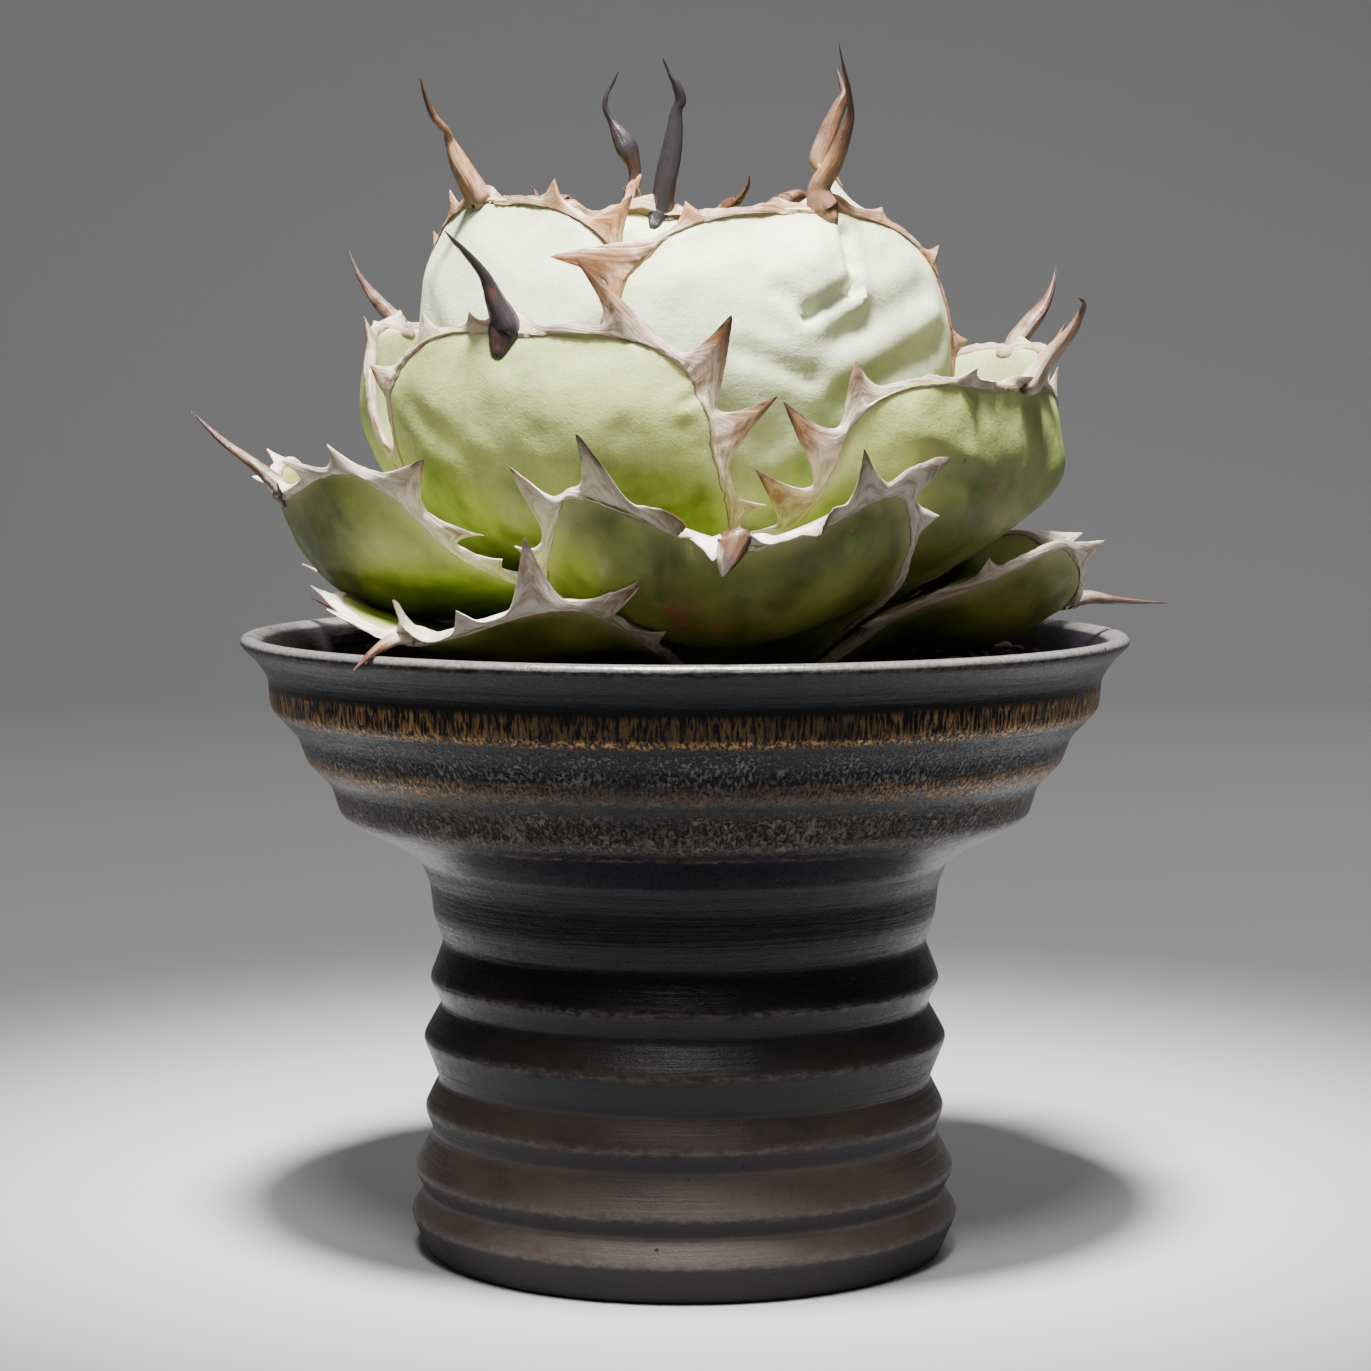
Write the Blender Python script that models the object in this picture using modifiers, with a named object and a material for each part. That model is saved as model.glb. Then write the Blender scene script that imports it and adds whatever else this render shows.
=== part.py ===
"""A potted agave titanota: a tight ball of broad, horn-edged leaves on a short
stem, standing in the soil of a tall hand-thrown pot with turned bands.

Metres, +Z up. The origin is at the centre of the pot's foot, on the surface
that it stands on. Azimuth 0 faces -Y, and azimuths grow towards +X.
"""

import math
import random

import bmesh
import bpy
from mathutils import Vector
from mathutils.bvhtree import BVHTree

MM = 0.001
OBJECT_NAME = "potted_agave_titanota"
CLEARANCE = 0.3 * MM

# Pot
TURN_STEPS = 28
POT_SHARP_ANGLE = 22
DRAIN_RADIUS = 7.0
FLOOR_TOP = 13.0
# Radius and height of the pot's outer side, from the lip down to the foot.
OUTER_PROFILE = [
    (81.6, 117.3), (83.5, 116.6), (83.3, 115.3), (80.2, 112.4), (78.2, 109.3), (77.7, 103.6),
    (75.6, 101.3), (72.7, 98.2), (71.1, 93.6), (69.9, 92.3), (66.6, 89.0), (64.9, 83.6),
    (61.4, 81.2), (54.0, 77.7), (49.8, 74.5), (48.0, 70.0), (47.4, 64.2), (45.6, 59.0),
    (48.3, 52.0), (46.0, 47.3), (49.6, 40.9), (46.5, 33.2), (49.3, 27.6), (47.6, 23.2),
    (51.3, 16.0), (49.3, 12.0), (52.0, 7.6), (50.0, 3.0), (48.6, 0.0),
]
FOOT_RING_RADIUS = 42.0
FOOT_RECESS_RADIUS = 40.5
FOOT_RECESS = 2.5
# Radius and height of the pot's inner side, from its floor up to the lip.
INNER_PROFILE = [
    (36.0, 13.0), (41.5, 18.0), (42.3, 40.0), (41.2, 62.0), (43.0, 74.0), (52.0, 82.0),
    (60.0, 88.5), (68.0, 99.0), (73.6, 106.0), (76.4, 112.4), (79.4, 116.6),
]

# Soil and stem
SOIL_SEED = 5
SOIL_GRAIN = 0.9 * MM
SOIL_WALL_GAP = 0.5
SOIL_RIM_HEIGHT = 110.0
# Radius and height of the soil's top, from the stem's hole out to the wall.
SOIL_TOP = [(17.0, 99.0), (28.0, 102.4), (38.0, 107.0), (48.0, 111.6), (57.0, 113.2), (66.0, 112.0)]
STEM_RADIUS = 10.5 * MM
STEM_HOLE_RADIUS = 11.1 * MM
STEM_FOOT = 90.0 * MM
STEM_TOP = 136.0 * MM
STEM_TAPER = 0.8
STEM_SIDES = 14
STEM_SHARP_ANGLE = 40
# Radius and height of the bud, from its tip down to the stem.
BUD_PROFILE = [(0.0, 193.0), (2.4, 189.0), (5.0, 180.0), (8.0, 168.0), (9.0, 156.0), (8.0, 144.0)]
BUD_FOOT_RADIUS = 6.0
BUD_STEPS = 10
BUD_SHARP_ANGLE = 60

# Rosette. The heart is the point that the leaves are laid round; every ray starts or ends FAR from it.
HEART = Vector((0, 0, 155 * MM))
FAR = 0.3
GOLDEN_ANGLE = 137.508
OLDEST_AZIMUTH = 178.0
LOWEST_BASE = 118.6 * MM
BASE_STEP = 0.85 * MM
ROWS = (0.0, 0.16, 0.32, 0.47, 0.61, 0.74, 0.85, 0.94, 1.0)
COLUMNS = (-1.0, -0.68, -0.34, 0.0, 0.34, 0.68, 1.0)
# Slope of a midrib where it leaves the stem (degrees), and what an upright tip adds to it.
LEAVING_SLOPE = -9
LEAVING_LIFT = 3
LEAVING_HANDLE = 0.54
ARRIVING_HANDLE = 0.47
# Share of the leaf's length where it is widest, then the shape of its outline to either side.
WIDEST_AT = 0.6
BASE_WIDTH_SHARE = 0.42
TAPER_POWER = 3.2
TAPER_ROUNDNESS = 0.62
TIP_HALF_WIDTH = 3.2 * MM
LEAF_THICKNESS = 8.0 * MM
THICK_FROM = 0.35
TIP_THINNING = 0.62
CROWN_POWER = 2.4
EDGE_THICKNESS = 1.3 * MM
SQUEEZED_SHARE = 0.4
# Height of the waves in a blade's rim, their count along and across it, and each leaf's shift.
EDGE_WAVE = 1.1 * MM
WAVES_ALONG = 16
WAVES_ACROSS = 2
WAVE_SHIFT = 1.7
EDGE_SHARE_POWER = 5
# Room between a leaf and the younger ones that it lies on, and how finely it is tested.
LAYER_GAP = 0.75 * MM
LOOK_AROUND = 3.0 * MM
LOOKS_AROUND = 6
SETTLING_ROUNDS = 6
SETTLING_SHARES = [n / 6 for n in range(7)]
LEAF_SHARP_ANGLE = 50

# Horn margins, teeth and end spines
HORN_CLEARANCE = 0.6 * MM
BAND_WIDTH = 1.9 * MM
FOOT_WIDTH = 6.0 * MM
FOOT_SPREAD = 4.5 * MM
HORN_EDGE_THICKNESS = 0.8 * MM
HORN_START_SHARE = 0.14
RIM_STEP = 2.5 * MM
LONGEST_STRETCH = 16.0 * MM
TOOTH_BASE = 9.0 * MM
# Shortest and longest tooth of an unlisted leaf, what its last tooth loses, and its greatest lean.
SMALL_TOOTH = (4.0 * MM, 7.5 * MM)
TOOTH_FADING = 0.3
TOOTH_LEAN = 2.5 * MM
FIRST_TOOTH_AT = 0.55
LEAF_SEED = 100
# Share of a tooth's base and of its length at each of its cross-lines.
TOOTH_OUTLINE = ((-0.5, 0.0), (-0.14, 0.42), (0.0, 1.0), (0.22, 0.34), (0.5, 0.0))
# Sideways swing of a tooth's point, in full from this length up.
FLUTTER = 0.9 * MM
FLUTTER_LENGTH = 4.0 * MM
SPINE_ROOT_RADIUS = 2.3 * MM
SPINE_TIP_RADIUS = 0.35 * MM
SPINE_RISE = 0.4
SPINE_SWAY = 0.07
SPINE_TAPER = 1.15
SPINE_SIDES = 6
SPINE_RINGS = 7

# One row for each leaf, oldest first: turn off the spiral's azimuth (degrees),
# radius and height of the blade's tip (mm), slope of the midrib there (degrees
# from level, over 90 leaning in), half width (mm), rise of the shoulders
# (degrees seen from the heart), teeth on each side where none are listed below,
# then the end spine's length (mm), slope (degrees from level) and sideways lean.
LEAVES = [
    (0, 75, 119.5, 12, 28, 8, 3, 13, 4, 0),
    (5, 75, 119.5, 14, 29, 8, 3, 14, -4, -14),
    (0, 72, 119.5, 20, 28, 12, 3, 18, 4, 4),
    (0, 76, 119.5, 12, 28, 8, 3, 20, 0, 0),
    (0, 71, 134.0, 55, 33, 26, 3, 15, 2, 0),
    (0, 73, 135.0, 55, 31, 14, 3, 18, 25, 5),
    (0, 77, 142.5, 60, 31, 15, 3, 19, 40, -4),
    (-2, 69, 163.5, 86, 34, 2, 3, 19, 58, -6),
    (0, 70, 160.0, 76, 31, 4, 3, 19, 48, 5),
    (-3, 62, 171.5, 92, 34, 4, 3, 18, 55, -24),
    (0, 71, 168.0, 78, 31, 2, 3, 17, 58, -5),
    (0, 60, 172.5, 90, 31, 2, 3, 18, 55, 6),
    (-4, 52, 190.0, 98, 37, 6, 3, 29, 80, -4),
    (0, 52, 181.0, 92, 31, 2, 3, 20, 42, 6),
    (7, 46, 191.0, 98, 36, 7, 3, 27, 70, -12),
    (0, 31, 198.0, 116, 27, 0, 3, 19, 78, 8),
    (0, 38, 189.0, 104, 27, 0, 3, 15, 40, 0),
    (0, 25, 191.0, 110, 25, 0, 3, 27, 88, -3),
    (0, 28, 190.0, 106, 22, 0, 3, 14, 40, 4),
    (0, 14, 197.0, 104, 19, 0, 2, 20, 90, 2),
    (0, 11, 188.0, 98, 15, 0, 2, 12, 60, -4),
]

# Teeth of the leaves that face the front, as distance from the blade's tip along
# its rim (plus is towards +X), length, and how far the point leans to the tip, in mm.
LISTED_TEETH = {
    1: ((-22, 9, 2), (-13, 9, -2), (12, 6, 3), (24, 11, 1), (38, 8, 2), (52, 4, 0)),
    4: ((-52, 6, -2), (-39, 10, 4), (-21, 8, 0), (19, 8, 0), (31, 9, 1), (45, 6, 3), (57, 5, 0)),
    6: ((-38, 7, 0), (-25, 8, 2), (-13, 5, 0), (13, 5, 0), (26, 9, 2), (38, 7, 1), (52, 4, 0)),
    7: ((-66, 8, -3), (-54, 15, 4), (-43, 11, 6), (-29, 5, 0), (18, 5, 0), (34, 7, 0), (50, 5, 0)),
    9: ((-50, 4, 0), (-35, 5, 1), (-21, 4, 0), (21, 12, 8), (34, 11, -2), (48, 11, 2), (64, 4, 0)),
    12: ((-50, 5, 0), (-35, 12, -5), (-20, 4, 0), (17, 5, 0), (32, 8, 1), (48, 6, 0)),
    14: ((-45, 5, 0), (-30, 5, 0), (-17, 4, 0), (15, 4, 0), (28, 8, 0), (42, 6, 0)),
}

# Colour, roughness and metallic value of each material.
FINISHES = {
    "pot_glaze": ((0.022, 0.018, 0.016), 0.42, 0.25),
    "soil": ((0.10, 0.065, 0.04), 0.95, 0.0),
    "stem_green": ((0.28, 0.34, 0.14), 0.7, 0.0),
    "leaf_green": ((0.33, 0.43, 0.22), 0.62, 0.0),
    "horn": ((0.27, 0.17, 0.11), 0.6, 0.0),
}


def clear_scene():
    for obj in list(bpy.data.objects):
        bpy.data.objects.remove(obj, do_unlink=True)


def make_material(name):
    colour, roughness, metallic = FINISHES[name]
    material = bpy.data.materials.new(name)
    material.use_nodes = True
    shader = material.node_tree.nodes["Principled BSDF"]
    shader.inputs["Base Color"].default_value = (*colour, 1.0)
    shader.inputs["Roughness"].default_value = roughness
    shader.inputs["Metallic"].default_value = metallic
    return material


def add_object(name, mesh, collection, material):
    obj = bpy.data.objects.new(name, mesh)
    obj.data.materials.append(material)
    collection.objects.link(obj)
    return obj


def mesh_from(bm, name):
    mesh = bpy.data.meshes.new(name)
    bm.to_mesh(mesh)
    bm.free()
    return mesh


def smooth(mesh, angle_degrees):
    mesh.shade_smooth()
    mesh.set_sharp_from_angle(angle=math.radians(angle_degrees))


def outline_mesh(name, profile, closed):
    """An outline of radius and height in mm, as edges for a Screw modifier."""
    bm = bmesh.new()
    points = [bm.verts.new((r * MM, 0, z * MM)) for r, z in profile]
    for first, second in zip(points, points[1:]):
        bm.edges.new((first, second))
    if closed:
        bm.edges.new((points[-1], points[0]))
    return mesh_from(bm, name)


def turn_on_wheel(obj, steps, sharp_angle):
    """Screws an outline into a turned shape, smooth but for its sharp corners."""
    screw = obj.modifiers.new("turn", "SCREW")
    screw.steps = steps
    screw.render_steps = steps
    screw.use_merge_vertices = True
    screw.merge_threshold = 0.00001
    apply_modifiers(obj)
    smooth(obj.data, sharp_angle)


def apply_modifiers(obj):
    graph = bpy.context.evaluated_depsgraph_get()
    finished = bpy.data.meshes.new_from_object(obj.evaluated_get(graph))
    finished.name = obj.name
    obj.modifiers.clear()
    obj.data = finished


def make_pot(collection, material):
    """The thrown pot: its outer side, foot ring, drain hole and inner side as one loop."""
    under = [
        (FOOT_RING_RADIUS, 0.0),
        (FOOT_RECESS_RADIUS, FOOT_RECESS),
        (DRAIN_RADIUS, FOOT_RECESS),
        (DRAIN_RADIUS, FLOOR_TOP),
    ]
    profile = OUTER_PROFILE + under + INNER_PROFILE
    pot = add_object("pot", outline_mesh("pot", profile, True), collection, material)
    turn_on_wheel(pot, TURN_STEPS, POT_SHARP_ANGLE)
    return pot


def inner_radius(height):
    """Radius in mm of the pot's inner side at a height in mm."""
    for (r0, z0), (r1, z1) in zip(INNER_PROFILE, INNER_PROFILE[1:]):
        if height <= z1:
            return r0 + (r1 - r0) * (height - z0) / (z1 - z0)
    return INNER_PROFILE[-1][0]


def make_soil(collection, material):
    """Potting soil that fills the pot, with a grainy, slightly mounded top and a hole for the stem."""
    gap = CLEARANCE / MM
    hole = STEM_HOLE_RADIUS / MM
    hole_foot = STEM_FOOT / MM - gap
    side = [(SOIL_RIM_HEIGHT, inner_radius(SOIL_RIM_HEIGHT))]
    side += [(z, r) for r, z in reversed(INNER_PROFILE) if z < SOIL_RIM_HEIGHT]
    profile = [(0.0, hole_foot), (hole, hole_foot)]
    profile += [(hole, SOIL_TOP[0][1])] + SOIL_TOP
    profile += [(r - SOIL_WALL_GAP, z) for z, r in side]
    profile[-1] = (profile[-1][0], FLOOR_TOP + gap)
    profile.append((0.0, FLOOR_TOP + gap))

    bm = bmesh.new()
    points = [bm.verts.new((r * MM, 0, z * MM)) for r, z in profile]
    edges = [bm.edges.new(pair) for pair in zip(points, points[1:])]
    bmesh.ops.spin(bm, geom=points + edges, cent=(0, 0, 0), axis=(0, 0, 1),
                   angle=2 * math.pi, steps=TURN_STEPS, use_merge=True)
    bmesh.ops.remove_doubles(bm, verts=bm.verts, dist=0.00001)
    draw = random.Random(SOIL_SEED)
    grain_inside = (STEM_HOLE_RADIUS + SOIL_TOP[0][0] * MM) / 2
    grain_outside = (SOIL_TOP[-1][0] + SOIL_WALL_GAP) * MM
    for vert in sorted(bm.verts, key=lambda v: (round(v.co.z, 6), round(v.co.x, 6), round(v.co.y, 6))):
        radius = math.hypot(vert.co.x, vert.co.y)
        if vert.co.z > SOIL_TOP[0][1] * MM - SOIL_GRAIN and grain_inside < radius < grain_outside:
            vert.co.z += draw.uniform(-SOIL_GRAIN, SOIL_GRAIN)
    bmesh.ops.recalc_face_normals(bm, faces=bm.faces)
    return add_object("soil", mesh_from(bm, "soil"), collection, material)


def make_stem(collection, material):
    """The short stem that the leaves grow from."""
    bm = bmesh.new()
    bmesh.ops.create_cone(bm, cap_ends=True, segments=STEM_SIDES, radius1=STEM_RADIUS,
                          radius2=STEM_RADIUS * STEM_TAPER, depth=STEM_TOP - STEM_FOOT)
    bmesh.ops.translate(bm, verts=bm.verts, vec=(0, 0, (STEM_TOP + STEM_FOOT) / 2))
    mesh = mesh_from(bm, "stem")
    smooth(mesh, STEM_SHARP_ANGLE)
    return add_object("stem", mesh, collection, material)


def make_bud(collection, material):
    """The closed spindle of the youngest leaves."""
    base = (STEM_TOP + CLEARANCE) / MM
    profile = BUD_PROFILE + [(BUD_FOOT_RADIUS, base), (0.0, base)]
    bud = add_object("bud", outline_mesh("bud", profile, False), collection, material)
    turn_on_wheel(bud, BUD_STEPS, BUD_SHARP_ANGLE)
    return bud


class Cover:
    """What has grown so far: how far it reaches from the heart in any direction."""

    def __init__(self):
        self.points = []
        self.faces = []
        self.tree = None

    def add(self, mesh):
        first = len(self.points)
        self.points += [v.co.copy() for v in mesh.vertices]
        self.faces += [[first + i for i in p.vertices] for p in mesh.polygons]
        self.tree = BVHTree.FromPolygons(self.points, self.faces)

    def reach_at(self, way):
        """Distance from the heart to the outermost surface along a direction."""
        hit = self.tree.ray_cast(HEART + way * FAR, -way, FAR)[0]
        return 0.0 if hit is None else (hit - HEART).length

    def reach(self, way):
        """The farthest that the outermost surface gets along a direction and just around it."""
        side = way.orthogonal().normalized()
        other = way.cross(side)
        farthest = 0.0
        for turn in range(LOOKS_AROUND + 1):
            spread = 0.0 if turn == LOOKS_AROUND else LOOK_AROUND
            angle = turn * 2 * math.pi / LOOKS_AROUND
            start = HEART + way * FAR + (side * math.cos(angle) + other * math.sin(angle)) * spread
            hit = self.tree.ray_cast(start, -way, FAR)[0]
            if hit is not None:
                farthest = max(farthest, (hit - HEART).dot(way))
        return farthest


class Leaf:
    """The shape of one leaf, as rules in directions seen from the heart of the rosette."""

    def __init__(self, index):
        row = LEAVES[index]
        turn, tip_r, tip_z, slope, half_width, shoulder, teeth, spine, spine_slope, spine_lean = row
        self.index = index
        self.azimuth = math.radians(OLDEST_AZIMUTH + GOLDEN_ANGLE * index + turn)
        self.outward = Vector((math.sin(self.azimuth), -math.cos(self.azimuth), 0))
        self.across = Vector((math.cos(self.azimuth), math.sin(self.azimuth), 0))
        self.half_width = half_width * MM
        self.shoulder = math.radians(shoulder)
        self.teeth = teeth
        self.spine_length = spine * MM
        self.spine_slope = math.radians(spine_slope)
        self.spine_lean = math.radians(spine_lean)
        self.draw = random.Random(LEAF_SEED + index)
        base = Vector((STEM_RADIUS + CLEARANCE, LOWEST_BASE + BASE_STEP * index))
        tip = Vector((tip_r * MM, tip_z * MM))
        chord = (tip - base).length
        rise = math.radians(slope)
        leaving = math.radians(LEAVING_SLOPE + LEAVING_LIFT * math.sin(rise))
        first = base + Vector((math.cos(leaving), math.sin(leaving))) * chord * LEAVING_HANDLE
        second = tip - Vector((math.cos(rise), math.sin(rise))) * chord * ARRIVING_HANDLE
        self.midrib = (base, first, second, tip)

    def rib(self, u):
        a, b, c, d = self.midrib
        back = 1 - u
        return a * back**3 + b * 3 * u * back**2 + c * 3 * u**2 * back + d * u**3

    def half_width_at(self, u):
        if u < WIDEST_AT:
            share = math.sin(math.pi / 2 * u / WIDEST_AT)
            return self.half_width * (BASE_WIDTH_SHARE + (1 - BASE_WIDTH_SHARE) * share)
        past = (u - WIDEST_AT) / (1 - WIDEST_AT)
        share = (1 - past**TAPER_POWER) ** TAPER_ROUNDNESS
        return TIP_HALF_WIDTH + (self.half_width - TIP_HALF_WIDTH) * share

    def way(self, u, v):
        """Direction from the heart, and the nominal distance of the outer face along it."""
        rib = self.rib(u) - Vector((0, HEART.z))
        distance = rib.length
        side = v * self.half_width_at(u) / distance
        spread = v * self.half_width_at(u) / self.half_width
        elevation = math.atan2(rib.y, rib.x) + self.shoulder * spread * spread * u
        meridian = self.outward * math.cos(elevation) + Vector((0, 0, math.sin(elevation)))
        return meridian * math.cos(side) + self.across * math.sin(side), distance

    def thickness(self, u, v):
        swelling = 0.5 + 0.5 * math.sin(math.pi / 2 * min(u / THICK_FROM, 1))
        middle = LEAF_THICKNESS * swelling * (1 - TIP_THINNING * u**2)
        return EDGE_THICKNESS + (middle - EDGE_THICKNESS) * (1 - abs(v) ** CROWN_POWER)

    def edge_wave(self, u, v):
        """How far the blade's rim swings out of its smooth face, less where the blade is narrow."""
        wave = math.sin(WAVES_ALONG * u + WAVE_SHIFT * self.index + WAVES_ACROSS * v)
        narrowing = self.half_width_at(u) / self.half_width
        return EDGE_WAVE * abs(v) ** EDGE_SHARE_POWER * (1 + wave) * u * narrowing

    def surfaces(self, cover):
        """Grids of directions and of the inner and outer face's distances, laid over what is younger."""
        ways, inner, outer = [], [], []
        for u in ROWS:
            ways.append([self.way(u, v)[0] for v in COLUMNS])
            nominal = [self.way(u, v)[1] + self.edge_wave(u, v) for v in COLUMNS]
            outer.append(nominal)
            inner.append([max(reach - self.thickness(u, v), cover.reach(way) + LAYER_GAP)
                          for v, way, reach in zip(COLUMNS, ways[-1], nominal)])
        inner = ease(inner)
        for _ in range(SETTLING_ROUNDS):
            settle(ways, inner, cover)
        for k, u in enumerate(ROWS):
            for j, v in enumerate(COLUMNS):
                least = max(EDGE_THICKNESS, self.thickness(u, v) * SQUEEZED_SHARE)
                outer[k][j] = max(outer[k][j], inner[k][j] + least)
        return ways, inner, ease(outer)


def ease(grid):
    """Raises each value towards the mean of its neighbours, so that a pushed leaf bends softly."""
    rows, columns = len(grid), len(grid[0])
    eased = [list(row) for row in grid]
    for k in range(rows):
        for j in range(columns):
            near = [grid[k + a][j + b] for a, b in ((1, 0), (-1, 0), (0, 1), (0, -1))
                    if 0 <= k + a < rows and 0 <= j + b < columns]
            eased[k][j] = max(grid[k][j], sum(near) / len(near))
    return eased


def settle(ways, inner, cover):
    """Raises the corners of each cell of an inner face that dips into what is younger."""
    cells = [[(k, j), (k, j + 1), (k + 1, j), (k + 1, j + 1)]
             for k in range(len(ROWS) - 1) for j in range(len(COLUMNS) - 1)]
    quads = [[ways[k][j] * inner[k][j] for k, j in cell] for cell in cells]
    for cell, short in zip(cells, shortfalls(quads, cover)):
        for k, j in cell:
            inner[k][j] += short


def settle_rim(lines, cover):
    """Raises the cross-lines beside a stretch of the horn that dips into what is younger."""
    quads = [[point - HEART for point in (first[3], first[2], second[3], second[2])]
             for first, second in zip(lines, lines[1:])]
    for k, short in enumerate(shortfalls(quads, cover)):
        for line in lines[k:k + 2]:
            for n, point in enumerate(line):
                line[n] = point + (point - HEART).normalized() * short


def shortfalls(quads, cover):
    """How much farther from the heart each quad has to lie to clear what is younger, tested
    from points on the quad and from the younger surfaces' own points."""
    short = [0.0] * len(quads)
    for number, corners in enumerate(quads):
        for s in SETTLING_SHARES:
            for t in SETTLING_SHARES:
                for point in points_on_halves(*corners, s, t):
                    reach = cover.reach_at(point.normalized())
                    short[number] = max(short[number], reach + LAYER_GAP - point.length)
    corners = [corner for quad in quads for corner in quad]
    tree = BVHTree.FromPolygons(corners, [(n, n + 1, n + 3, n + 2) for n in range(0, len(corners), 4)])
    for point in cover.points:
        offset = point - HEART
        _, _, number, distance = tree.ray_cast(Vector(), offset.normalized(), FAR)
        if number is not None:
            short[number] = max(short[number], offset.length + LAYER_GAP - distance)
    return short


def points_on_halves(a, b, c, d, s, t):
    """A point of a cell split in triangles along one diagonal, and along the other."""
    if s + t < 1:
        first = a + (b - a) * t + (c - a) * s
    else:
        first = d + (c - d) * (1 - t) + (b - d) * (1 - s)
    if s > t:
        second = a + (c - a) * s + (d - c) * t
    else:
        second = a + (b - a) * t + (d - b) * s
    return first, second


def blade_mesh(leaf, cover):
    """A closed blade: a triangulated grid on the outer face, extruded to the inner face."""
    ways, inner, outer = leaf.surfaces(cover)
    columns = len(COLUMNS)
    bm = bmesh.new()
    bmesh.ops.create_grid(bm, x_segments=columns - 1, y_segments=len(ROWS) - 1, size=1)
    verts = sorted(bm.verts, key=lambda v: (round(v.co.y, 4), round(v.co.x, 4)))
    for number, vert in enumerate(verts):
        k, j = divmod(number, columns)
        vert.co = HEART + ways[k][j] * outer[k][j]
    bmesh.ops.triangulate(bm, faces=bm.faces, quad_method="FIXED")
    inside = {}
    for number, vert in enumerate(verts):
        k, j = divmod(number, columns)
        inside[tuple(vert.co)] = HEART + ways[k][j] * inner[k][j]
    made = bmesh.ops.extrude_face_region(bm, geom=bm.faces[:])["geom"]
    for vert in (v for v in made if isinstance(v, bmesh.types.BMVert)):
        vert.co = inside[tuple(vert.co)]
    bmesh.ops.triangulate(bm, faces=[f for f in bm.faces if len(f.verts) > 3])
    bmesh.ops.recalc_face_normals(bm, faces=bm.faces)
    mesh = mesh_from(bm, f"leaf_{leaf.index:02d}")
    smooth(mesh, LEAF_SHARP_ANGLE)
    return mesh, leaf_edge(ways, inner, outer)


def leaf_edge(ways, inner, outer):
    """Up the left side of the blade and down the right: the rim's point on the outer face,
    the one on the inner face, and one half way through the blade a little further in."""
    def edge(k, j, inside):
        return HEART + ways[k][j] * outer[k][j], HEART + ways[k][j] * inner[k][j], inside

    def middle(k, j):
        return HEART + ways[k][j] * (inner[k][j] + outer[k][j]) / 2

    last = len(ROWS) - 1
    before_tip = middle(last - 1, len(COLUMNS) // 2)
    left = [edge(k, 0, middle(k, 1)) for k in range(last)]
    right = [edge(k, -1, middle(k, -2)) for k in range(last)]
    return left + [edge(last, 0, before_tip), edge(last, -1, before_tip)] + right[::-1]


class Rim:
    """The blade's rim, read by the distance along it."""

    def __init__(self, edge):
        self.edge = edge
        self.stations = [0.0]
        for first, second in zip(edge, edge[1:]):
            self.stations.append(self.stations[-1] + (second[0] - first[0]).length)
        self.length = self.stations[-1]
        self.tip = self.length / 2

    def at(self, distance):
        """The rim's outer point, inner point and inside point."""
        distance = min(max(distance, 0.0), self.length)
        k = 0
        while k < len(self.edge) - 2 and distance > self.stations[k + 1]:
            k += 1
        share = (distance - self.stations[k]) / (self.stations[k + 1] - self.stations[k])
        return [a.lerp(b, share) for a, b in zip(self.edge[k], self.edge[k + 1])]

    def frame(self, distance):
        """Unit vectors at a station: along the rim, out of the blade, and off its outer face."""
        outer, inner, inside = self.at(distance)
        along = (self.at(distance + RIM_STEP)[0] - self.at(distance - RIM_STEP)[0]).normalized()
        out = (outer + inner) / 2 - inside
        out = (out - along * out.dot(along)).normalized()
        normal = out.cross(along)
        if normal.dot(outer - HEART) < 0:
            normal.negate()
        return along, out, normal


def teeth_of(leaf, rim):
    """Teeth as station on the rim, length, and lean along the rim."""
    if leaf.index in LISTED_TEETH:
        listed = LISTED_TEETH[leaf.index]
        return [(rim.tip + d * MM, h * MM, -math.copysign(lean, d * lean) * MM) for d, h, lean in listed]
    teeth = []
    room = rim.tip * (1 - HORN_START_SHARE) - FOOT_SPREAD - TIP_HALF_WIDTH
    pitch = room / leaf.teeth
    for side in (-1, 1):
        for number in range(leaf.teeth):
            from_tip = FOOT_SPREAD + TIP_HALF_WIDTH + pitch * (number + FIRST_TOOTH_AT)
            height = leaf.draw.uniform(*SMALL_TOOTH) * (1 - TOOTH_FADING * number / leaf.teeth)
            lean = -side * leaf.draw.uniform(0.0, TOOTH_LEAN)
            teeth.append((rim.tip + side * from_tip, height, lean))
    return sorted(teeth)


def horn_stations(leaf, rim):
    """The horn's cross-lines along the rim: station, length past the band, lean along the rim."""
    foot = FOOT_SPREAD + TIP_HALF_WIDTH
    start = rim.tip * HORN_START_SHARE
    lines = [(start, 0.0, 0.0), (rim.length - start, 0.0, 0.0)]
    spine_foot = FOOT_WIDTH - BAND_WIDTH
    for side in (-1, 1):
        lines.append((rim.tip + side * TIP_HALF_WIDTH, spine_foot, 0.0))
        lines.append((rim.tip + side * foot, 0.0, 0.0))
    for station, height, lean in teeth_of(leaf, rim):
        for offset, share in TOOTH_OUTLINE:
            lines.append((station + offset * TOOTH_BASE, height * share, lean * share))
    lines = [line for line in sorted(lines) if start <= line[0] <= rim.length - start]
    filled = lines[:1]
    for first, second in zip(lines, lines[1:]):
        stretch = second[0] - first[0]
        parts = math.ceil(stretch / LONGEST_STRETCH)
        filled += [(first[0] + stretch * n / parts, 0.0, 0.0) for n in range(1, parts)]
        filled.append(second)
    return filled


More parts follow.
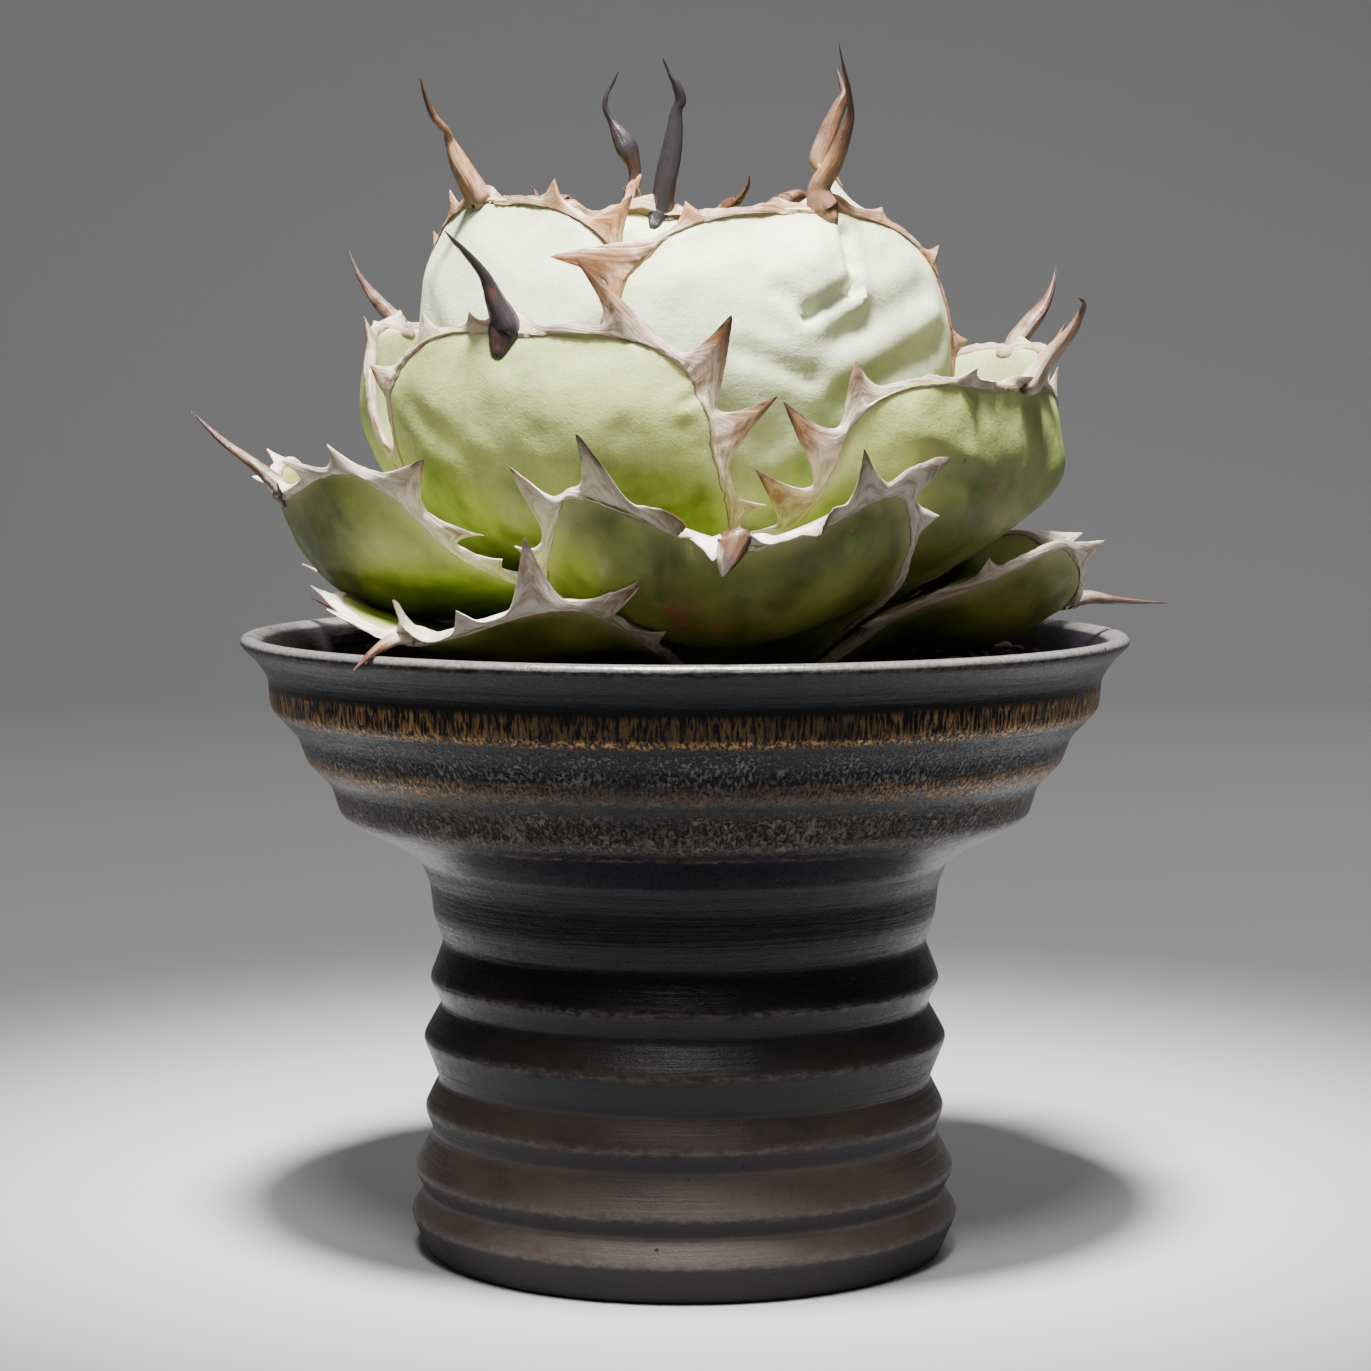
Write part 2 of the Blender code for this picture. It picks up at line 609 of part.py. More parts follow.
def clear_corners(rim, stations, near, far):
    """Moves the horn out where a straight stretch of its inner edge would cut a corner of the blade."""
    for station, (outer, inner, _) in zip(rim.stations, rim.edge):
        for k in range(len(stations) - 1):
            if not stations[k] < station < stations[k + 1]:
                continue
            share = (station - stations[k]) / (stations[k + 1] - stations[k])
            out = rim.frame(station)[1]
            short = 0.0
            for side, corner in ((0, outer), (1, inner)):
                on_chord = near[k][side].lerp(near[k + 1][side], share)
                short = max(short, (corner - on_chord).dot(out) + HORN_CLEARANCE)
            for line in (k, k + 1):
                near[line] = [point + out * short for point in near[line]]
                far[line] += out * short


def horn_mesh(leaf, edge, cover):
    """The horny rim with its teeth, one cross-line of four points at each station."""
    rim = Rim(edge)
    shape = horn_stations(leaf, rim)
    stations = [station for station, _, _ in shape]
    near, far = [], []
    for station, height, lean in shape:
        outer, inner, _ = rim.at(station)
        along, out, normal = rim.frame(station)
        near.append([outer + out * HORN_CLEARANCE, inner + out * HORN_CLEARANCE])
        flutter = leaf.draw.uniform(-1, 1) * FLUTTER * min(1.0, height / FLUTTER_LENGTH)
        far.append((outer + inner) / 2 + out * (BAND_WIDTH + height) + along * lean + normal * flutter)
    clear_corners(rim, stations, near, far)
    lines = []
    for (top, bottom), middle in zip(near, far):
        way = (middle - HEART).normalized()
        reach = cover.reach(way) + LAYER_GAP + HORN_EDGE_THICKNESS / 2
        middle = HEART + way * max((middle - HEART).length, reach)
        half = way * HORN_EDGE_THICKNESS / 2
        lines.append([top, middle + half, middle - half, bottom])
    for _ in range(SETTLING_ROUNDS):
        settle_rim(lines, cover)
    bm = bmesh.new()
    rings = [[bm.verts.new(point) for point in line] for line in lines]
    for first, second in zip(rings, rings[1:]):
        for a in range(4):
            b = (a + 1) % 4
            bm.faces.new((first[a], first[b], second[b], second[a]))
    bm.faces.new(rings[0][::-1])
    bm.faces.new(rings[-1])
    bmesh.ops.triangulate(bm, faces=bm.faces, quad_method="FIXED")
    bmesh.ops.recalc_face_normals(bm, faces=bm.faces)
    at_tip = [point for line, station in zip(lines, stations) for point in line
              if abs(station - rim.tip) < TIP_HALF_WIDTH * 1.01]
    foot = sum(at_tip, Vector()) / len(at_tip)
    return mesh_from(bm, f"horn_{leaf.index:02d}"), foot


def spine_mesh(leaf, foot):
    """The end spine: a tapering tube that leaves the rim's foot in a slight S."""
    root = foot + (foot - HEART).normalized() * SPINE_ROOT_RADIUS * SPINE_RISE
    aim = leaf.outward * math.cos(leaf.spine_slope) + Vector((0, 0, math.sin(leaf.spine_slope)))
    aim = (aim * math.cos(leaf.spine_lean) + leaf.across * math.sin(leaf.spine_lean)).normalized()
    sway = aim.cross(leaf.across).normalized()
    bm = bmesh.new()
    rings = []
    for ring in range(SPINE_RINGS):
        share = ring / (SPINE_RINGS - 1)
        centre = root + aim * leaf.spine_length * share
        centre += sway * leaf.spine_length * SPINE_SWAY * math.sin(2 * math.pi * share)
        radius = SPINE_TIP_RADIUS + (SPINE_ROOT_RADIUS - SPINE_TIP_RADIUS) * (1 - share) ** SPINE_TAPER
        side = leaf.across
        other = aim.cross(side).normalized()
        turn = 2 * math.pi / SPINE_SIDES
        rings.append([
            bm.verts.new(centre + (side * math.cos(n * turn) + other * math.sin(n * turn)) * radius)
            for n in range(SPINE_SIDES)
        ])
    for first, second in zip(rings, rings[1:]):
        for n in range(SPINE_SIDES):
            m = (n + 1) % SPINE_SIDES
            bm.faces.new((first[n], first[m], second[m], second[n]))
    bm.faces.new(rings[0][::-1])
    bm.faces.new(rings[-1])
    bmesh.ops.triangulate(bm, faces=bm.faces)
    bmesh.ops.recalc_face_normals(bm, faces=bm.faces)
    return mesh_from(bm, f"spine_{leaf.index:02d}")


def join(obj, other, cutters):
    """Unites a second object with the first, applies it and removes the second."""
    cutters.objects.link(other)
    separate = obj.data
    whole = len(separate.vertices) + len(other.data.vertices) // 2
    for solver in ("EXACT", "MANIFOLD"):
        obj.data = separate
        union = obj.modifiers.new("join", "BOOLEAN")
        union.operation = "UNION"
        union.solver = solver
        union.object = other
        apply_modifiers(obj)
        if len(obj.data.vertices) > whole:
            break
    bpy.data.objects.remove(other, do_unlink=True)


def make_rosette(collection, cutters, materials):
    """Grows the leaves from the youngest to the oldest, each laid over those inside it."""
    bud = make_bud(collection, materials["leaf_green"])
    cover = Cover()
    cover.add(bud.data)
    for index in reversed(range(len(LEAVES))):
        leaf = Leaf(index)
        blade, edge = blade_mesh(leaf, cover)
        rim, foot = horn_mesh(leaf, edge, cover)
        cover.add(blade)
        cover.add(rim)
        add_object(blade.name, blade, collection, materials["leaf_green"])
        horn = add_object(rim.name, rim, collection, materials["horn"])
        spine = bpy.data.objects.new(f"spine_{index:02d}", spine_mesh(leaf, foot))
        join(horn, spine, cutters)


def main():
    clear_scene()
    scene = bpy.context.scene
    collection = bpy.data.collections.new(OBJECT_NAME)
    cutters = bpy.data.collections.new("joined_shapes")
    scene.collection.children.link(collection)
    scene.collection.children.link(cutters)
    cutters.hide_render = True
    materials = {name: make_material(name) for name in FINISHES}
    make_pot(collection, materials["pot_glaze"])
    make_soil(collection, materials["soil"])
    make_stem(collection, materials["stem_green"])
    make_rosette(collection, cutters, materials)


main()
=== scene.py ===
import math
import random

import bmesh
import bpy
import numpy as np
from mathutils import Euler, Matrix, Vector, noise
from mathutils.bvhtree import BVHTree


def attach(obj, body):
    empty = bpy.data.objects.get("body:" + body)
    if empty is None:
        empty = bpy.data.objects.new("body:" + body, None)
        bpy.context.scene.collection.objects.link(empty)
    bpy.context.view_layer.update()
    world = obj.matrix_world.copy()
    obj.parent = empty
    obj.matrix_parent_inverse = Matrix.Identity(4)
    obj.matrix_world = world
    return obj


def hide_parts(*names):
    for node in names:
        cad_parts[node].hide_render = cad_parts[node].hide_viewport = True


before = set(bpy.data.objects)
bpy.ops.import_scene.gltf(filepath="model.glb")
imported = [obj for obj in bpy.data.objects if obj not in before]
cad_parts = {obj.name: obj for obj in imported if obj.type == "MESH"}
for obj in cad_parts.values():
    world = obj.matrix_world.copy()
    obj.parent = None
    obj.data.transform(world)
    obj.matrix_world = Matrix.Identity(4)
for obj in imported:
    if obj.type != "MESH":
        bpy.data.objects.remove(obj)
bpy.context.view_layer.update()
mm = 0.001
heart = np.array([0.0, 0.0, 155.0])  # the leaves are laid round this point, as in the solids; mm from here on


# Small helpers for node trees
def connect(tree, socket, value):
    if isinstance(value, bpy.types.NodeSocket):
        tree.links.new(value, socket)
    else:
        socket.default_value = value


def wire(tree, kind, inputs=None, **settings):
    node = tree.nodes.new(kind)
    for key, value in settings.items():
        setattr(node, key, value)
    for key, value in (inputs or {}).items():
        connect(tree, node.inputs[key], value)
    return node


def calc(tree, operation, first, second=0.0, clamp=False):
    node = wire(tree, "ShaderNodeMath", {0: first, 1: second}, operation=operation, use_clamp=clamp)
    return node.outputs[0]


def plus(tree, first, second, clamp=False):
    return calc(tree, "ADD", first, second, clamp)


def minus(tree, first, second):
    return calc(tree, "SUBTRACT", first, second)


def times(tree, first, *others):
    for other in others:
        first = calc(tree, "MULTIPLY", first, other)
    return first


def larger(tree, first, second):
    return calc(tree, "MAXIMUM", first, second)


def summed(tree, *parts):
    # the sum of waves, each times its share
    total = times(tree, *parts[0])
    for part in parts[1:]:
        total = plus(tree, total, times(tree, *part))
    return total


def swung(tree, value, wave, amount, clamp=False):
    # the value moved up and down by a noise round its middle
    return plus(tree, value, times(tree, minus(tree, wave, 0.5), amount), clamp)


def blendColours(tree, factor, first, second, how="MIX"):
    node = wire(tree, "ShaderNodeMix", {0: factor}, data_type="RGBA", blend_type=how, clamp_factor=True)
    for place, colour in ((6, first), (7, second)):
        plain = not isinstance(colour, bpy.types.NodeSocket)
        connect(tree, node.inputs[place], (*colour, 1) if plain else colour)
    return node.outputs[2]


def layered(tree, colour, *layers):
    # tones laid over a colour one after another, each by its mask
    for mask, tone in layers:
        colour = blendColours(tree, mask, colour, tone)
    return colour


def turning(tree, look, wave, limits, low, high):
    # one of a look's colours turning into another as a wave rises through its limits
    return blendColours(tree, remap(tree, wave, *look[limits]), look[low], look[high])


def blendValues(tree, factor, first, second):
    return wire(tree, "ShaderNodeMix", {0: factor, 2: first, 3: second}, data_type="FLOAT").outputs[0]


def remap(tree, value, low, high, toLow=0.0, toHigh=1.0):
    inputs = {"Value": value, "From Min": low, "From Max": high, "To Min": toLow, "To Max": toHigh}
    return wire(tree, "ShaderNodeMapRange", inputs, interpolation_type="SMOOTHSTEP").outputs[0]


def noiseOf(tree, vector, scale, detail=3.0, roughness=0.55, distortion=0.0):
    inputs = {"Vector": vector, "Scale": scale, "Detail": detail, "Roughness": roughness,
              "Distortion": distortion}
    return wire(tree, "ShaderNodeTexNoise", inputs).outputs[0]


def attribute(tree, name):
    return wire(tree, "ShaderNodeAttribute", attribute_name=name).outputs["Fac"]


def placeInMm(tree):
    place = wire(tree, "ShaderNodeTexCoord").outputs["Object"]
    return wire(tree, "ShaderNodeVectorMath", {0: place, "Scale": 1000.0}, operation="SCALE").outputs[0]


def stretch(tree, vector, x, y, z):
    return wire(tree, "ShaderNodeVectorMath", {0: vector, 1: (x, y, z)}, operation="MULTIPLY").outputs[0]


def grained(tree, colour, shift, amount):
    # a colour that gets lighter and darker from grain to grain
    shade = plus(tree, times(tree, shift, amount), 1.0)
    grey = wire(tree, "ShaderNodeCombineColor", {0: shade, 1: shade, 2: shade}).outputs[0]
    return blendColours(tree, 1.0, colour, grey, "MULTIPLY")


def newMaterial(name, **constants):
    material = bpy.data.materials.new(name)
    material.use_nodes = True
    tree = material.node_tree
    shader = tree.nodes["Principled BSDF"]
    for key, value in constants.items():
        shader.inputs[key.replace("_", " ")].default_value = value
    return material, tree, shader


def finishWith(tree, shader, colour, roughness, height, depth):
    bump = wire(tree, "ShaderNodeBump", {"Height": height, "Strength": 1.0, "Distance": depth * mm})
    tree.links.new(colour, shader.inputs["Base Color"])
    tree.links.new(roughness, shader.inputs["Roughness"])
    tree.links.new(bump.outputs[0], shader.inputs["Normal"])


def newGroup(name, inputs, outputs):
    tree = bpy.data.node_groups.new(name, "ShaderNodeTree")
    for label, kind, value in inputs:
        socket = tree.interface.new_socket(label, in_out="INPUT", socket_type=kind)
        if value is not None:
            socket.default_value = value
    for label, kind in outputs:
        tree.interface.new_socket(label, in_out="OUTPUT", socket_type=kind)
    return tree, tree.nodes.new("NodeGroupInput"), tree.nodes.new("NodeGroupOutput")


def useGroup(tree, name, place, **inputs):
    inputs = {key.replace("_", " "): value for key, value in inputs.items()}
    return wire(tree, "ShaderNodeGroup", {"Place": place, **inputs}, node_tree=groups[name]).outputs


# Node groups shared by the materials
fineGrain = {"fineNoise": (1.0, 4.0, 0.6), "coarseNoise": (0.28, 3.0, 0.5)}
roundSpots = {"smallest": 0.35, "middle": (1.0, 0.6), "rim": (1.9, 1.2)}


def makeGrainGroup():
    # even fine grain: a colour shift and a height from two sizes of noise
    tree, given, out = newGroup("fineGrain", [
        ("Place", "NodeSocketVector", None), ("Size", "NodeSocketFloat", 1.0),
        ("Coarse Share", "NodeSocketFloat", 0.5),
    ], [("Shift", "NodeSocketFloat"), ("Height", "NodeSocketFloat")])
    place, size = given.outputs["Place"], given.outputs["Size"]
    waves = []
    for scale, detail, roughness in (fineGrain["fineNoise"], fineGrain["coarseNoise"]):
        waves.append(noiseOf(tree, place, calc(tree, "DIVIDE", scale, size), detail, roughness))
    both = blendValues(tree, given.outputs["Coarse Share"], *waves)
    connect(tree, out.inputs["Shift"], minus(tree, both, 0.5))
    connect(tree, out.inputs["Height"], both)
    return tree


def makeSpotsGroup():
    # scattered round spots: a mask for their middles and one for their rims
    tree, given, out = newGroup("scatteredSpots", [
        ("Place", "NodeSocketVector", None), ("Spacing", "NodeSocketFloat", 8.0),
        ("Share", "NodeSocketFloat", 0.3), ("Radius", "NodeSocketFloat", 0.1),
    ], [("Middle", "NodeSocketFloat"), ("Rim", "NodeSocketFloat")])
    scale = calc(tree, "DIVIDE", 1.0, given.outputs["Spacing"])
    cells = wire(tree, "ShaderNodeTexVoronoi", {"Vector": given.outputs["Place"], "Scale": scale})
    pick = wire(tree, "ShaderNodeSeparateColor", {0: cells.outputs["Color"]})
    chosen = calc(tree, "LESS_THAN", pick.outputs[0], given.outputs["Share"])
    size = times(tree, given.outputs["Radius"], plus(tree, pick.outputs[1], roundSpots["smallest"]))
    near = calc(tree, "DIVIDE", cells.outputs["Distance"], size)
    middle = remap(tree, near, *roundSpots["middle"])
    rim = times(tree, remap(tree, near, *roundSpots["rim"]), minus(tree, 1.0, middle))
    connect(tree, out.inputs["Middle"], times(tree, middle, chosen))
    connect(tree, out.inputs["Rim"], times(tree, rim, chosen))
    return tree


groups = {"grain": makeGrainGroup(), "spots": makeSpotsGroup()}
print("node groups made")


# Leaf skin: green flesh under a pale waxy bloom, with corky spots and scabs
leafSkin = {
    "deepGreen": (0.070, 0.098, 0.005), "liveGreen": (0.22, 0.28, 0.025), "greenRange": (0.3, 0.72),
    "youngBloom": (0.62, 0.67, 0.46), "oldBloom": (0.42, 0.49, 0.155), "ageRange": (0.12, 0.45),
    "marginTint": (0.62, 0.60, 0.26), "marginFade": (4.5, 0.5, 0.0, 0.5),  # mm from rim, tint's share
    "patches": (0.07, 3.0), "patchSwing": 0.7, "blotches": (0.33, 4.0, 0.6), "blotchSwing": 0.35,
    "spot": (0.42, 0.30, 0.16), "spotRim": (0.22, 0.17, 0.06), "spotSpacing": 7.0, "spotShare": 0.22,
    "spotRadius": 0.08, "scab": (0.30, 0.12, 0.05), "scabRange": (0.44, 0.56),
    "grainSize": 0.45, "coarseShare": 0.4, "grainShade": 0.35,
    "glossy": 0.30, "waxy": 0.58, "glow": 0.06, "glowDepth": 0.004,
    "depth": 0.30, "grainHeight": 0.55, "blotchHeight": 0.45, "spotHeight": 0.5,
}


def makeLeafMaterial():
    look = leafSkin
    glow = {"Subsurface_Weight": look["glow"], "Subsurface_Scale": look["glowDepth"]}
    material, tree, shader = newMaterial("leafSkin", **glow)
    place = placeInMm(tree)
    age = attribute(tree, "age")
    patches = noiseOf(tree, place, *look["patches"])
    blotches = noiseOf(tree, place, *look["blotches"])
    grain = useGroup(tree, "grain", place, Size=look["grainSize"], Coarse_Share=look["coarseShare"])
    spots = useGroup(tree, "spots", place, Spacing=look["spotSpacing"], Radius=look["spotRadius"],
                     Share=times(tree, age, look["spotShare"]))
    bloom = swung(tree, attribute(tree, "bloom"), patches, look["patchSwing"])
    bloom = swung(tree, bloom, blotches, look["blotchSwing"], clamp=True)
    flesh = turning(tree, look, patches, "greenRange", "deepGreen", "liveGreen")
    wax = turning(tree, look, age, "ageRange", "youngBloom", "oldBloom")
    nearRim = remap(tree, attribute(tree, "margin"), *look["marginFade"])
    scab = times(tree, attribute(tree, "scab"), remap(tree, blotches, *look["scabRange"]))
    colour = layered(tree, flesh, (bloom, wax), (nearRim, look["marginTint"]),
                     (spots["Rim"], look["spotRim"]), (spots["Middle"], look["spot"]), (scab, look["scab"]))
    colour = grained(tree, colour, grain["Shift"], look["grainShade"])
    roughness = blendValues(tree, bloom, look["glossy"], look["waxy"])
    height = summed(tree, (grain["Height"], look["grainHeight"]), (blotches, look["blotchHeight"]),
                    (spots["Rim"], -look["spotHeight"]))
    finishWith(tree, shader, colour, roughness, height, look["depth"])
    return material


# Horn: corky margins, teeth and spines, from silver-white through tan to burnt black
hornCrust = {
    "tanDark": (0.15, 0.066, 0.028), "tanLight": (0.40, 0.215, 0.098), "tanRange": (0.32, 0.68),
    "silverDark": (0.45, 0.34, 0.23), "silverLight": (0.87, 0.81, 0.70), "silverRange": (0.3, 0.6),
    "burntBrown": (0.070, 0.029, 0.015), "brownRange": (0.22, 0.6),
    "burntBlack": (0.020, 0.016, 0.018), "blackRange": (0.68, 0.98),
    "fibres": (1.0, 4.0, 0.6, 0.25), "fibreStretch": (0.22, 0.22, 0.22), "patches": (0.24, 4.0, 0.6),
    "paleSwing": 1.0, "burnSwing": 0.8, "fibreSwing": 0.4, "grainSize": 0.35, "coarseShare": 0.5,
    "rough": 0.36, "burntRough": 0.34, "roughRange": (0.3, 0.9),
    "depth": 0.32, "fibreHeight": 0.7, "grainHeight": 0.3,
}


def makeHornMaterial():
    look = hornCrust
    material, tree, shader = newMaterial("hornCrust")
    place = placeInMm(tree)
    slow = stretch(tree, place, *look["fibreStretch"])
    across = wire(tree, "ShaderNodeCombineXYZ", {0: attribute(tree, "streakAt"), 1: attribute(tree, "age")})
    streaks = wire(tree, "ShaderNodeVectorMath", {0: slow, 1: across.outputs[0]}, operation="ADD").outputs[0]
    fibres = noiseOf(tree, streaks, *look["fibres"])
    patches = noiseOf(tree, place, *look["patches"])
    tan = turning(tree, look, fibres, "tanRange", "tanDark", "tanLight")
    silver = turning(tree, look, fibres, "silverRange", "silverDark", "silverLight")
    pale = swung(tree, attribute(tree, "pale"), patches, look["paleSwing"], clamp=True)
    burn = swung(tree, attribute(tree, "burn"), patches, look["burnSwing"])
    burn = swung(tree, burn, fibres, look["fibreSwing"], clamp=True)
    brown, black = [remap(tree, burn, *look[limits]) for limits in ("brownRange", "blackRange")]
    colour = layered(tree, tan, (pale, silver), (brown, look["burntBrown"]), (black, look["burntBlack"]))
    roughness = blendValues(tree, remap(tree, burn, *look["roughRange"]), look["rough"], look["burntRough"])
    grain = useGroup(tree, "grain", place, Size=look["grainSize"], Coarse_Share=look["coarseShare"])
    height = summed(tree, (fibres, look["fibreHeight"]), (grain["Height"], look["grainHeight"]))
    finishWith(tree, shader, colour, roughness, height, look["depth"])
    return material


# Pot glaze: near-black lustre with rippled bronze bands on the bowl, drier and browner on the foot, and
# painted shade on the facets that face down
potGlaze = {
    "black": (0.0045, 0.0045, 0.007), "brown": (0.013, 0.010, 0.009), "brownRange": (0.38, 0.7),
    "clouds": (0.05, 5.0, 0.62), "cloudSqueeze": (1, 1, 2.2), "patches": (0.16, 4.0, 0.6),
    "dryBrown": (0.056, 0.043, 0.036), "dryBelow": (58.0, 14.0), "dryClouds": (0.25, 0.6, 0.6, 1.0),
    # painted shade: facets of the outline that face down are darkened toward black
    "underFacing": (0.05, -0.3), "paintedUnderShade": 0.22,
    # bands on the bowl: lowest and highest mm, softness of their ends; the metals' figures follow them
    "goldBand": (102.8, 107.8), "goldFoot": (-0.6, 1.0, 0.5), "footShare": 0.8, "brownBand": (91.4, 95.2),
    "brownShare": 0.75, "silverBand": (95.4, 101.2, 1.2), "lowBand": (83.0, 89.8, 1.4),
    "bronze": (0.44, 0.25, 0.095), "bronzeFigure": (0.14, (1.9, 2.0, 0.5, 0.6), (0.42, 0.58)),
    "bronzeCover": (0.3, 0.6, 0.4, 1.0), "bronzeMetal": 0.55,
    "silver": (0.125, 0.116, 0.114), "silverFigure": (0.42, (1.7, 2.0, 0.5, 0.5), (0.44, 0.6)),
    "silverCover": (0.35, 0.6, 0.25, 1.0),
    "ash": (0.16, 0.127, 0.102), "ashFigure": (0.6, (1.1, 3.0, 0.55, 1.2), (0.40, 0.62)),
    "ashCover": (0.3, 0.62, 0.3, 1.0),
    "wornEdge": (0.085, 0.068, 0.058), "rubFigure": (2.0, (0.5, 5.0, 0.7), (0.4, 0.62)), "wornShare": 0.85,
    "lip": (0.30, 0.28, 0.27), "lipHeight": (115.6, 116.5), "lipMetal": 0.6,
    "lipFigure": (1.0, (1.1, 4.0, 0.7), (0.3, 0.7, 0.35, 1.0)), "pit": (0.006, 0.005, 0.005),
    "pits": {"Spacing": 5.0, "Share": 0.2, "Radius": 0.06},
    "specks": {"Spacing": 1.6, "Share": 0.25, "Radius": 0.12}, "speckShare": 0.5,
    "grainSize": 0.42, "coarseShare": 0.45, "grainShade": 0.9, "gloss": 0.16,
    "smooth": 0.30, "dryRough": 0.52, "bandRough": 0.12, "grainRough": 0.5,
    "depth": 0.55, "bandHeight": 0.8, "wheelLines": (1.0, 3.0, 0.6), "wheelStretch": (0.04, 0.04, 1.5),
    "lineHeight": 0.26, "grainHeight": 0.3, "pitHeight": 0.7,
}


def bandMask(tree, height, low, high, soft=0.7):
    rise = remap(tree, height, low - soft, low + soft)
    return times(tree, rise, remap(tree, height, high + soft, high - soft))


def figureOf(tree, place, squeeze, pattern, edges):
    # a noise drawn out upright by a squeeze under 1, cut to marks
    return remap(tree, noiseOf(tree, stretch(tree, place, 1, 1, squeeze), *pattern), *edges)


def makePotMaterial():
    look = potGlaze
    material, tree, shader = newMaterial("potGlaze", Specular_IOR_Level=look["gloss"])
    place = placeInMm(tree)
    height = attribute(tree, "height")
    gild = attribute(tree, "gilding")
    clouds = noiseOf(tree, stretch(tree, place, *look["cloudSqueeze"]), *look["clouds"])
    patches = noiseOf(tree, place, *look["patches"])
    wheelLines = noiseOf(tree, stretch(tree, place, *look["wheelStretch"]), *look["wheelLines"])
    grain = useGroup(tree, "grain", place, Size=look["grainSize"], Coarse_Share=look["coarseShare"])
    pits = useGroup(tree, "spots", place, **look["pits"])
    specks = useGroup(tree, "spots", place, **look["specks"])
    colour = turning(tree, look, clouds, "brownRange", "black", "brown")
    dry = times(tree, remap(tree, height, *look["dryBelow"]), remap(tree, clouds, *look["dryClouds"]))
    # painted shade: the facets that face down are mixed toward black
    under = remap(tree, attribute(tree, "facing"), *look["underFacing"], 0.0, 1.0 - look["paintedUnderShade"])
    colour = layered(tree, colour, (dry, look["dryBrown"]), (under, look["black"]))

    # the bands: upright ripples in gold and silver, a broad crackle low on the bowl
    goldFoot = [look["goldBand"][0] + edge for edge in look["goldFoot"][:2]]
    gold = times(tree, bandMask(tree, height, *look["goldBand"]), gild)
    goldLine = times(tree, bandMask(tree, height, *goldFoot, look["goldFoot"][2]), look["footShare"])
    brown = times(tree, bandMask(tree, height, *look["brownBand"]), gild, look["brownShare"])
    masks = {
        "silver": bandMask(tree, height, *look["silverBand"]),
        "ash": bandMask(tree, height, *look["lowBand"]),
        "bronze": larger(tree, larger(tree, gold, goldLine), brown),
    }
    for metal, band in masks.items():
        figure = figureOf(tree, place, *look[metal + "Figure"])
        cover = remap(tree, patches, *look[metal + "Cover"])
        masks[metal] = times(tree, band, cover, figure, attribute(tree, "outside"))
        colour = blendColours(tree, masks[metal], colour, look[metal])
    banded = larger(tree, masks["bronze"], larger(tree, masks["silver"], masks["ash"]))

    # wear: crests rubbed lighter, a dull metal lip, pits and fine specks
    worn = times(tree, attribute(tree, "edge"), figureOf(tree, place, *look["rubFigure"]), look["wornShare"])
    lip = times(tree, remap(tree, height, *look["lipHeight"]), figureOf(tree, place, *look["lipFigure"]))
    speckled = times(tree, specks["Middle"], dry, look["speckShare"])
    colour = layered(tree, colour, (worn, look["wornEdge"]), (lip, look["lip"]),
                     (pits["Middle"], look["pit"]), (speckled, look["wornEdge"]))
    colour = grained(tree, colour, grain["Shift"], look["grainShade"])
    roughness = summed(tree, (blendValues(tree, dry, look["smooth"], look["dryRough"]), 1.0),
                       (banded, look["bandRough"]), (grain["Shift"], look["grainRough"]))
    relief = summed(tree, (banded, look["bandHeight"]), (wheelLines, look["lineHeight"]),
                    (grain["Height"], look["grainHeight"]), (pits["Middle"], -look["pitHeight"]))
    finishWith(tree, shader, colour, roughness, relief, look["depth"])
    bronze = times(tree, masks["bronze"], look["bronzeMetal"])
    connect(tree, shader.inputs["Metallic"], larger(tree, bronze, times(tree, lip, look["lipMetal"])))
    return material


# Soil: dark mix of bark, grit and fired clay grains, with painted shade in the dips of its fine bump
soilMix = {
    "dark": (0.030, 0.019, 0.013), "earth": (0.11, 0.062, 0.036), "earthRange": (0.35, 0.65),
    "clay": (0.30, 0.115, 0.05), "clayKinds": (0.55, 0.7, 0.0, 0.8),
    "grit": (0.34, 0.26, 0.19), "gritKinds": (0.84, 0.9, 0.0, 0.85), "hollowShadeRange": (0.62, 0.4, 0.0, 0.7),
    "clumps": (0.3, 5.0, 0.65), "fine": (1.4, 4.0, 0.7), "roughRange": (0.2, 0.8, 0.8, 1.0), "depth": 0.9,
}


def makeSoilMaterial():
    look = soilMix
    material, tree, shader = newMaterial("soilMix")
    place = placeInMm(tree)
    clumps = noiseOf(tree, place, *look["clumps"])
    fine = noiseOf(tree, place, *look["fine"])
    kind = attribute(tree, "kind")
    clay, grit = [remap(tree, kind, *look[limits]) for limits in ("clayKinds", "gritKinds")]
    colour = turning(tree, look, clumps, "earthRange", "dark", "earth")
    # painted shade: the dips of the fine bump are mixed toward the dark colour
    colour = layered(tree, colour, (clay, look["clay"]), (grit, look["grit"]),
                     (remap(tree, fine, *look["hollowShadeRange"]), look["dark"]))
    finishWith(tree, shader, colour, remap(tree, fine, *look["roughRange"]), fine, look["depth"])
    return material


# Stem: fibrous, yellow-green, hidden under the leaves
stemBark = {
    "green": (0.24, 0.30, 0.10), "brown": (0.20, 0.13, 0.07), "greenRange": (0.35, 0.65),
    "fibres": (0.9, 4.0, 0.6), "fibreStretch": (1, 1, 0.15),
    "roughRange": (0.2, 0.8, 0.6, 0.85), "depth": 0.6,
}


def makeStemMaterial():
    look = stemBark
    material, tree, shader = newMaterial("stemBark")
    fibres = noiseOf(tree, stretch(tree, placeInMm(tree), *look["fibreStretch"]), *look["fibres"])
    colour = turning(tree, look, fibres, "greenRange", "brown", "green")
    finishWith(tree, shader, colour, remap(tree, fibres, *look["roughRange"]), fibres, look["depth"])
    return material


materials = {"leaf": makeLeafMaterial(), "horn": makeHornMaterial(), "pot": makePotMaterial(),
             "soil": makeSoilMaterial(), "stem": makeStemMaterial()}
print("materials made")


